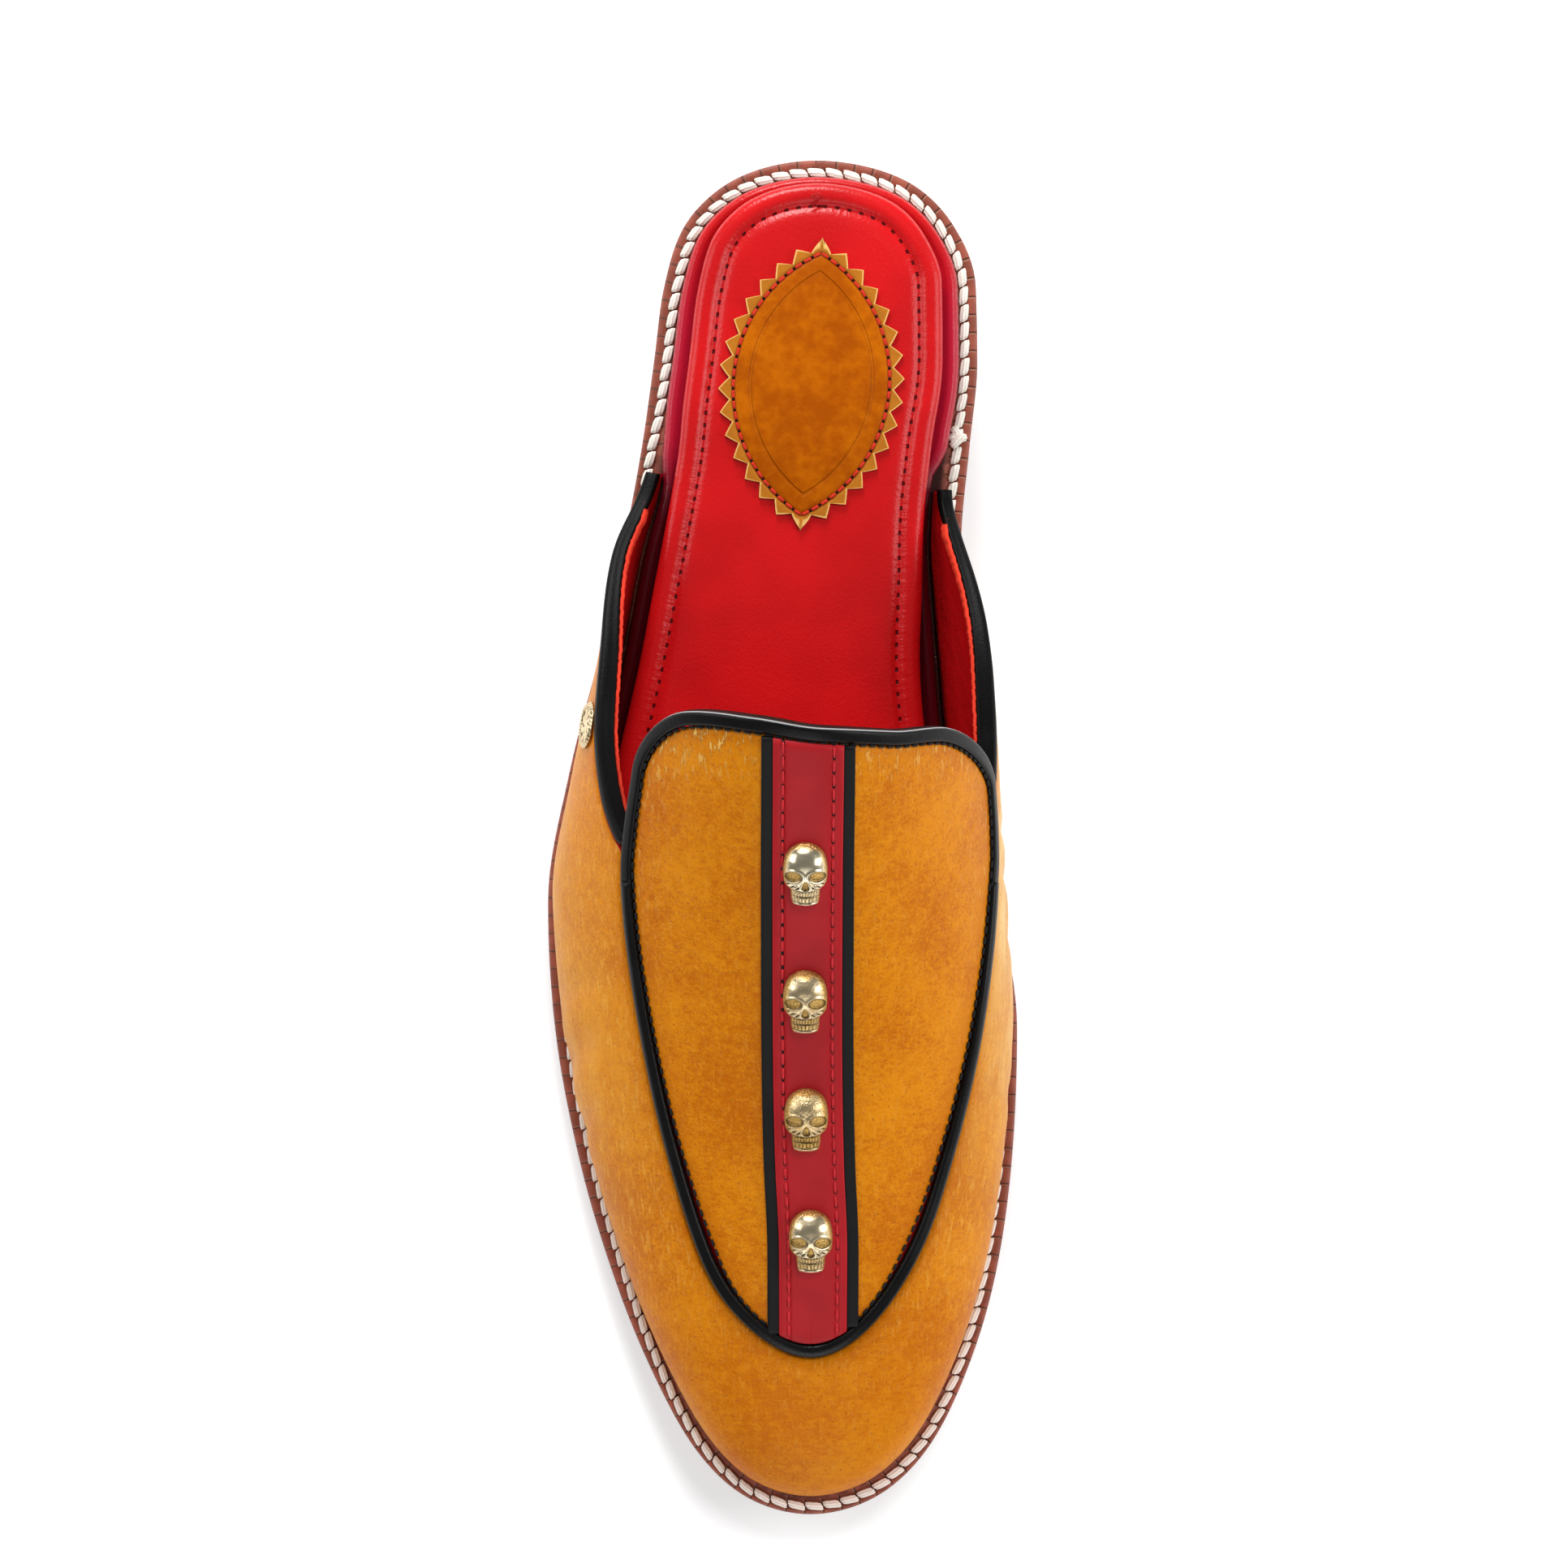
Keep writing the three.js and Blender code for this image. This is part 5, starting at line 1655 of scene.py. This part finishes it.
def apron_grid(across, widths, grow):
    """Angles, shares and edge distances of a panel that lies on the apron, inside its outline."""
    share_down = np.linspace(0, 1, TONGUE_ROWS + 1)[:-1, None]
    half = np.where(across > 0, widths["medial"], widths["lateral"])
    end = tongue_end(across * np.minimum(half / APRON_HALF, 1)) + PIPE_CLEAR
    back_at = end[None, :] + (STRAIGHT_FROM - end[None, :]) * share_down
    wide = np.minimum(grown_half(back_at, grow, across[None, :] > 0), half[None, :])
    back_x = ridge_x(back_at) + across[None, :] * wide
    back_angle, back_share = over_plan(back_x, back_at)
    back_edge = np.minimum(wide - abs(across * wide), back_at - end[None, :])

    straight = np.linspace(STRAIGHT_FROM, FAN_FROM, STRAIGHT_ROWS + 1)[:-1]
    turns = np.linspace(feather_angle(FAN_FROM, "lateral"), math.pi, FAN_ROWS + 1)
    stations = np.concatenate([straight, station(feather(turns))])
    halves = []
    for side, columns in (("lateral", across[across < 0]), ("medial", across[across >= 0])):
        medial = side == "medial"
        angle = feather_angle(stations, side)
        shares, points = sampled(angle)
        at = station(points)
        x = abs(points[..., 0] - ridge_x(at))
        room = np.minimum(grown_half(at, grow, medial), widths[side])
        limit = crossing(shares, room - x)
        crest = section(angle)[:, 3, :]
        rim_point = on_last(angle, limit)
        far = np.hypot(*(rim_point - crest)[:, :2].T)
        share = plan_share(angle, far[:, None] * abs(columns)[None, :])
        share[:, abs(columns) < 1e-9] = 1.0
        spread = np.broadcast_to(angle[:, None], share.shape)
        place = on_last(spread, share)
        where = station(place)
        before, here, after = (grown_half(where + step, grow, medial) for step in (-0.1, 0, 0.1))
        slope = (after - before) / 0.2
        side_x = abs(place[..., 0] - ridge_x(where))
        inside = (here - side_x) / np.sqrt(1 + np.minimum(slope**2, 400))
        halves.append((spread, share, np.maximum(np.minimum(inside, widths[side] - side_x), 0)))
    fore = [np.concatenate([left, right], 1) for left, right in zip(*halves)]
    angle = np.concatenate([back_angle, fore[0]])
    share = np.concatenate([back_share, fore[1]])
    return angle, share, np.concatenate([np.maximum(back_edge, 0), fore[2]])


def seam_path(grow=0.0):
    """Path of the apron's outline from the lateral throat round the toe end to the medial throat."""
    ends = [feather_angle(THROAT + 0.2, side) for side in SIDES]
    angle = np.linspace(*ends, SEAM_POINTS)
    return skin_path(angle, apron_edge(angle, grow))


def tongue_path():
    """Path of the tongue's edge from the lateral to the medial throat."""
    side_at = np.linspace(THROAT + 0.5, tongue_end(np.array(1.0)), 24)
    across = crowded(150)
    at = np.concatenate([side_at, tongue_end(across)[1:-1], side_at[::-1]])
    part = np.concatenate([0 * side_at - 1, across[1:-1], 0 * side_at + 1])
    x = ridge_x(at) + part * apron_half(at, part > 0)
    return skin_path(*over_plan(x, at))


class MULE_OT_trim(bpy.types.Operator):
    """Builds piping, bindings and their black seams"""

    bl_idname = "mule.trim"
    bl_label = "Piping and bindings"

    def execute(self, context):
        sizes, colours = context.scene.mule_sizes, context.scene.mule_colours
        piping = plain_leather("black_piping", colours.black, 0.26)
        binding = plain_leather("black_binding", colours.black, 0.4, depth=0.05, gloss=0.1)
        black = thread("black_thread", BLACK_THREAD, 0.4)

        body = Body("apron_seam_piping")
        body.cord(seam_path(), rounded(PIPE_HALF, GAP - SHELF, PIPE_RISE, 0.75))
        body.solid("black_leather", [piping], "apron_piping")

        body = Body("tongue_edge_binding", "rim")
        turns = np.linspace(0, TAU, 49)
        # Where the binding's grey cut edge runs, which also paints its highlight
        edge_and_highlight_line = hump(turns, 0.84 * math.pi, 0.14)[None, :]
        profile = rounded(PIPE_HALF + 0.15, -TONGUE_THICKNESS - 0.2, 1.05, 0.5, 48)
        body.cord(tongue_path(), profile, rim=edge_and_highlight_line)
        edged = plain_leather("edged_binding", colours.black, 0.32, rimmed=True, gloss=0.16)
        body.solid("black_leather", [edged], "tongue_binding")

        for side in SIDES:
            body = Body(f"collar_edge_{side}")
            profile = rounded(BINDING_HALF, -BINDING_HEIGHT / 2, BINDING_HEIGHT / 2, 0.6, 24)
            grooved = []
            for a, b in profile:
                groove = 0.3 * hump(a, -0.7, 0.22) * (b > 0)
                grooved.append((a - BINDING_STEP, b - groove))
            path = collar_path(side)
            body.cord(path, grooved, inner=collar_spread(path))
            body.solid("black_leather", [binding], f"collar_binding_{side}")

        seams = Body("black_seams")
        pitch = sizes.seam_pitch / MM
        seams.stitches(seam_path(-PIPE_CLEAR - 0.25).spaced(pitch, 1.0).moved(0, 0.25), FINE_STITCH)
        seams.stitches(tongue_path().moved(PIPE_HALF + 0.45, 0.3).spaced(pitch, 2.0), FINE_STITCH)
        seams.piece("black_leather", [black])
        return {"FINISHED"}


class MULE_OT_strip(bpy.types.Operator):
    """Builds the crimson centre strip, its seams and the black bands beside it"""

    bl_idname = "mule.strip"
    bl_label = "Centre strip"

    def execute(self, context):
        sizes, colours = context.scene.mule_sizes, context.scene.mule_colours
        across = crowded(41)
        angle, share, edge = apron_grid(across, STRIP_HALF, -PIPE_CLEAR)
        flat = on_last(angle, share)
        at = station(flat)
        x = flat[..., 0] - ridge_x(at)
        inset = np.where(x > 0, STRIP_HALF["medial"] - x, STRIP_HALF["lateral"] + x)
        foot = APRON_PROUD + 0.05
        lift = foot + STRIP_THICKNESS - 0.3 * np.exp(-edge / 0.4)
        lift = lift - 0.14 * hump(inset, STRIP_SEAM, 0.4)
        upper = skin(angle, share, lift)
        middle = len(across) // 2
        halves = {"lateral": slice(middle, None, -1), "medial": slice(middle, None)}
        along = np.interp(at, at[:, middle], run_along(upper[:, middle]))
        pitch = sizes.strip_pitch / MM
        body = Body("crimson_strip", "inset", "along")
        body.slab(upper, skin(angle, share, 0 * share + foot), inset=inset, along=along)
        body.solid("crimson_leather", [strip_leather("strip_leather", colours, pitch)], "centre_strip")

        seams = Body("strip_seams")
        for side, half in STRIP_HALF.items():
            seam = self.line(upper, abs(x), halves[side], half - STRIP_SEAM)
            seams.stitches(seam.spaced(pitch, pitch / 2), STRIP_STITCH)
        seams.piece("crimson_leather", [thread("crimson_thread", CRIMSON_THREAD, 0.4)])
        outer = {side: half + 2 * STRIP_BAND + 0.1 for side, half in STRIP_HALF.items()}
        angle, share, edge = apron_grid(across, outer, -PIPE_CLEAR + 0.6)
        flat = on_last(angle, share)
        x = flat[..., 0] - ridge_x(station(flat))
        skin_at = skin(angle, share, 0 * share + foot)
        black = plain_leather("band_leather", colours.black, 0.5)
        for side, half in STRIP_HALF.items():
            line = self.line(skin_at, abs(x), halves[side], half + STRIP_BAND)
            body = Body(f"strip_band_{side}")
            body.cord(line, rounded(STRIP_BAND, -0.15, 0.95, 0.5, 16))
            body.solid("black_leather", [black], f"strip_piping_{side}")
        return {"FINISHED"}

    def line(self, places, side, columns, target):
        """Path down a panel at a fixed distance from the ridge."""
        points = []
        for row, away in zip(places[:, columns], side[:, columns]):
            if away[-1] > target:
                points.append([np.interp(target, away, row[:, axis]) for axis in range(3)])
        rows = np.array(points)
        ups = np.cross([1.0, 0.0, 0.0], np.diff(rows, axis=0))
        up = unit(np.concatenate([ups, ups[-1:]]))
        return Path(rows, up * np.sign(up[:, 2:3]))


class MULE_OT_studs(bpy.types.Operator):
    """Builds the four cast skull studs and the side rivet"""

    bl_idname = "mule.studs"
    bl_label = "Studs and rivet"

    def execute(self, context):
        colours = context.scene.mule_colours
        gold = cast_gold("pale_cast_gold", colours)
        face, pit, gilt = skull_relief()
        for number, (at, age) in enumerate(zip(STUDS, STUD_AGE), 1):
            turn, centre = stud_frame(at)
            aged_and_shaded = np.clip(age + gilt, 0, 1)
            body = Body(f"skull_{number}", "pit", "gilt")
            body.slab(centre + face @ turn.T, centre + (face * [1, 1, 0]) @ turn.T, pit=pit, gilt=aged_and_shaded)
            body.solid("pale_gold", [gold], f"skull_stud_{number}")
        self.rivet(gold)
        return {"FINISHED"}

    def rivet(self, gold):
        """A thin chased disc with a corded rim on the lateral quarter."""
        angle = np.array([feather_angle(RIVET_AT, "lateral")])
        share = np.array([RIVET_ALONG])
        up = skin_normal(angle, share)[0]
        centre = skin(angle, share, np.array([GAP]))[0]
        turn = facing(up)
        around = np.linspace(0, TAU, 145)[None, :]
        radius = np.array([*np.linspace(0, RIVET_RADIUS, 40), RIVET_RADIUS])[:, None]
        rim_band = smooth(3.9, 4.2, radius)
        petals = np.cos(8 * around + 1.3 * radius) * plateau(radius, 0.8, 1.4, 3.3, RIVET_GROOVE)
        cord = np.cos(30 * around + 4 * radius) * rim_band
        groove = hump(radius, RIVET_GROOVE, 0.2)
        height = 0.45 + 0.14 * petals + 0.3 * rim_band + 0.1 * cord - 0.25 * groove
        height = height * (1 - smooth(RIVET_RADIUS - 0.5, RIVET_RADIUS, radius) * 0.7)
        height[-1] = 0
        disc = np.stack([radius * np.cos(around), radius * np.sin(around), height], -1)
        pit = np.clip(1.2 * smooth(0.1, 0.9, -petals) + 0.8 * groove, 0, 1)
        pit = np.maximum(pit, 0.8 * smooth(0.3, 0.95, -cord))
        body = Body("side_badge", "pit", "gilt")
        body.grid(centre + disc @ turn.T, 0, pit=pit, gilt=0.35 + 0 * pit)
        body.solid("pale_gold", [gold], "side_rivet")


def stud_frame(at):
    """Axes and seat of a stud on the strip, its crown towards the heel."""
    crest = ridge_station(FEATHER_STATIONS["lateral"])
    angle, share = np.array(np.interp(at, crest, HALF_TURN)), np.array(1.0)
    up = skin_normal(angle, share)
    seat_lift = APRON_PROUD + 2 * GAP + STRIP_THICKNESS
    return facing(up), skin(angle, share, np.array(seat_lift)) - STUD_SUNK * up


SKULL_ROWS = 120
SKULL_COLUMNS = 81

# Recesses of a skull's face: step from the middle, fall from the crown, half sizes, tilt and depth
Hollow = namedtuple("Hollow", "x fall wide tall tilt depth")
EYE = Hollow(2.5, 6.35, 1.8, 1.25, 0.16, 0.6)
CHEEKS = [
    Hollow(1.7, 9.15, 0.8, 0.2, 0.75, 0.35),
    Hollow(2.7, 8.85, 0.8, 0.2, 0.65, 0.35),
    Hollow(3.7, 8.4, 0.6, 0.2, 0.55, 0.3),
]
NOSE = Hollow(0, 8.45, 0.72, 1.25, 0, 0.6)
TOOTH_LINES = (9.95, 11.25, 12.75)
TOOTH_PITCH = (0.6, 0.78)


def skull_relief():
    """Places of a flat-backed skull's face, crown up, with its dark lines and its brass parts: worn ones,
    and the painted shade of its rim and crown.
    """
    half, depth = curve_of(SKULL, "half"), curve_of(SKULL, "depth")
    down = np.linspace(0, 1, SKULL_ROWS + 1)[:, None]
    across = crowded(SKULL_COLUMNS)[None, :]
    fall = down * STUD_HEIGHT
    x = half(down) * across
    y = STUD_HEIGHT / 2 - fall + 0 * across
    z = depth(down) * np.power(np.maximum(1 - across**2, 0), 0.36)
    pit = 0 * x
    # Brass round the rim and at the crown is painted shade
    gilt = 0.9 * smooth(0.72, 0.98, abs(across)) + 0.9 * (1 - smooth(0.01, 0.1, down))

    def away(hollow, widen=0.0):
        u = abs(x) - hollow.x
        v = fall - hollow.fall
        turned = u * math.cos(hollow.tilt) + v * math.sin(hollow.tilt)
        upright = v * math.cos(hollow.tilt) - u * math.sin(hollow.tilt)
        return np.hypot(turned / np.maximum(hollow.wide + widen * v, 0.2), upright / hollow.tall)

    for hollow, widen in ((EYE, 0.0), (NOSE, 0.3)):
        ring = away(hollow, widen)
        z = z - hollow.depth * (1 - smooth(0.78, 1, ring)) + 0.2 * hump(ring, 1.2, 0.14)
        pit = np.maximum(pit, hump(ring, 0.95, 0.11))
        gilt = np.maximum(gilt, 1 - smooth(0.8, 1, ring))
    for hollow in CHEEKS:
        slot = 1 - smooth(0.5, 1.1, away(hollow))
        z = z - hollow.depth * slot
        pit = np.maximum(pit, slot)

    inner = 1 - smooth(0.84, 0.94, abs(across))
    for line in TOOTH_LINES:
        cut = hump(fall, line, 0.14) * inner
        z = z - 0.3 * cut
        pit = np.maximum(pit, 0.85 * cut)
    for pitch, top, bottom in zip(TOOTH_PITCH, TOOTH_LINES[:2], TOOTH_LINES[1:]):
        row = plateau(fall, top, top + 0.2, bottom - 0.35, bottom - 0.15) * inner
        gaps = np.power(abs(np.cos(x * math.pi / pitch)), 10) * row
        z = z + 0.14 * row - 0.3 * gaps
        pit = np.maximum(pit, 0.75 * gaps)
        gilt = np.maximum(gilt, 0.45 * row)
    return np.stack([x, y, np.maximum(z, 0.05)], -1), pit, gilt


# Softboxes of the stage, in metres and watts; the high one isn't mirrored in the gloss
Softbox = namedtuple("Softbox", "name place width power mirrored")
SOFTBOXES = [
    Softbox("left_softbox", (-0.8, 0.25, 0.5), 0.5, 3, True),
    Softbox("right_softbox", (0.8, 0.05, 0.5), 0.55, 4.4, True),
    Softbox("back_softbox", (-0.12, 0.88, 0.55), 0.36, 9, True),
    Softbox("front_softbox", (0.0, -0.9, 0.5), 0.7, 4, True),
    Softbox("high_softbox", (0.25, 0.4, 1.2), 0.3, 4, False),
]
LIT_PLACE = (0, 0, 0.03)
TENT_LIGHT = 0.2
FLOOR_GLOW = 0.26
FLOOR_DROP = 0.0002

# Camera: station and height it looks at, angle over the floor, distance and lens
VIEW_AT = 137.3
VIEW_HEIGHT = 0.015
VIEW_RISE = math.radians(87)
VIEW_DISTANCE = 1.3
VIEW_LENS = 134.8


def face_towards(thing, target):
    """Turns a lamp or camera to look at a place."""
    thing.rotation_euler = (Vector(target) - thing.location).to_track_quat("-Z", "Y").to_euler()


class MULE_OT_stage(bpy.types.Operator):
    """Sets the pale floor, the soft lights and the camera"""

    bl_idname = "mule.stage"
    bl_label = "Stage"

    def execute(self, context):
        scene = context.scene
        mesh = bmesh.new()
        bmesh.ops.create_grid(mesh, x_segments=1, y_segments=1, size=3)
        data = bpy.data.meshes.new("floor")
        mesh.to_mesh(data)
        mesh.free()
        floor = add_object("floor", data)
        paint = Paint("pale_floor")
        data.materials.append(
            paint.done(
                Base_Color=(0.93, 0.93, 0.93),
                Roughness=0.8,
                Specular_IOR_Level=0.1,
                Emission_Color=(1, 1, 1, 1),
                Emission_Strength=FLOOR_GLOW,
            )
        )
        floor.location.z = -FLOOR_DROP

        world = bpy.data.worlds.new("tent")
        scene.world = world
        world.use_nodes = True
        tent = world.node_tree.nodes["Background"].inputs
        tent[0].default_value = (1, 1, 1, 1)
        tent[1].default_value = TENT_LIGHT

        for box in SOFTBOXES:
            light = bpy.data.lights.new(box.name, "AREA")
            light.shape = "SQUARE"
            light.size = box.width
            light.energy = box.power
            lamp = add_object(box.name, light)
            lamp.location = box.place
            lamp.visible_glossy = box.mirrored
            face_towards(lamp, LIT_PLACE)

        target = Vector((0, (LENGTH / 2 - VIEW_AT) * MM, VIEW_HEIGHT))
        view = bpy.data.cameras.new("camera")
        view.sensor_width = 36
        view.lens = VIEW_LENS
        camera = add_object("camera", view)
        away = Vector((0, -math.cos(VIEW_RISE), math.sin(VIEW_RISE)))
        camera.location = target + away * VIEW_DISTANCE
        face_towards(camera, target)
        scene.camera = camera
        scene.view_settings.view_transform = "Standard"
        return {"FINISHED"}


OPERATORS = (
    MULE_OT_sole,
    MULE_OT_footbed,
    MULE_OT_upper,
    MULE_OT_apron,
    MULE_OT_trim,
    MULE_OT_strip,
    MULE_OT_studs,
    MULE_OT_stage,
)


class MULE_PT_panel(bpy.types.Panel):
    """Lists the shoe's pieces in the sidebar"""

    bl_idname = "MULE_PT_panel"
    bl_label = "Loafer Mule"
    bl_space_type = "VIEW_3D"
    bl_region_type = "UI"
    bl_category = "Mule"

    def draw(self, context):
        for operator in OPERATORS:
            self.layout.operator(operator.bl_idname)
        for group in (context.scene.mule_sizes, context.scene.mule_colours):
            for name in group.__annotations__:
                self.layout.prop(group, name)


CLASSES = (MuleSizes, MuleColours, *OPERATORS, MULE_PT_panel)


def register():
    """Adds the classes and the scene's settings."""
    for item in CLASSES:
        bpy.utils.register_class(item)
    bpy.types.Scene.mule_sizes = PointerProperty(type=MuleSizes)
    bpy.types.Scene.mule_colours = PointerProperty(type=MuleColours)


def unregister():
    """Removes the scene's settings and the classes."""
    del bpy.types.Scene.mule_sizes
    del bpy.types.Scene.mule_colours
    for item in reversed(CLASSES):
        bpy.utils.unregister_class(item)


def main():
    """Builds every piece."""
    register()
    for build in (
        bpy.ops.mule.stage,
        bpy.ops.mule.sole,
        bpy.ops.mule.footbed,
        bpy.ops.mule.upper,
        bpy.ops.mule.apron,
        bpy.ops.mule.trim,
        bpy.ops.mule.strip,
        bpy.ops.mule.studs,
    ):
        build()


if __name__ == "__main__":
    main()
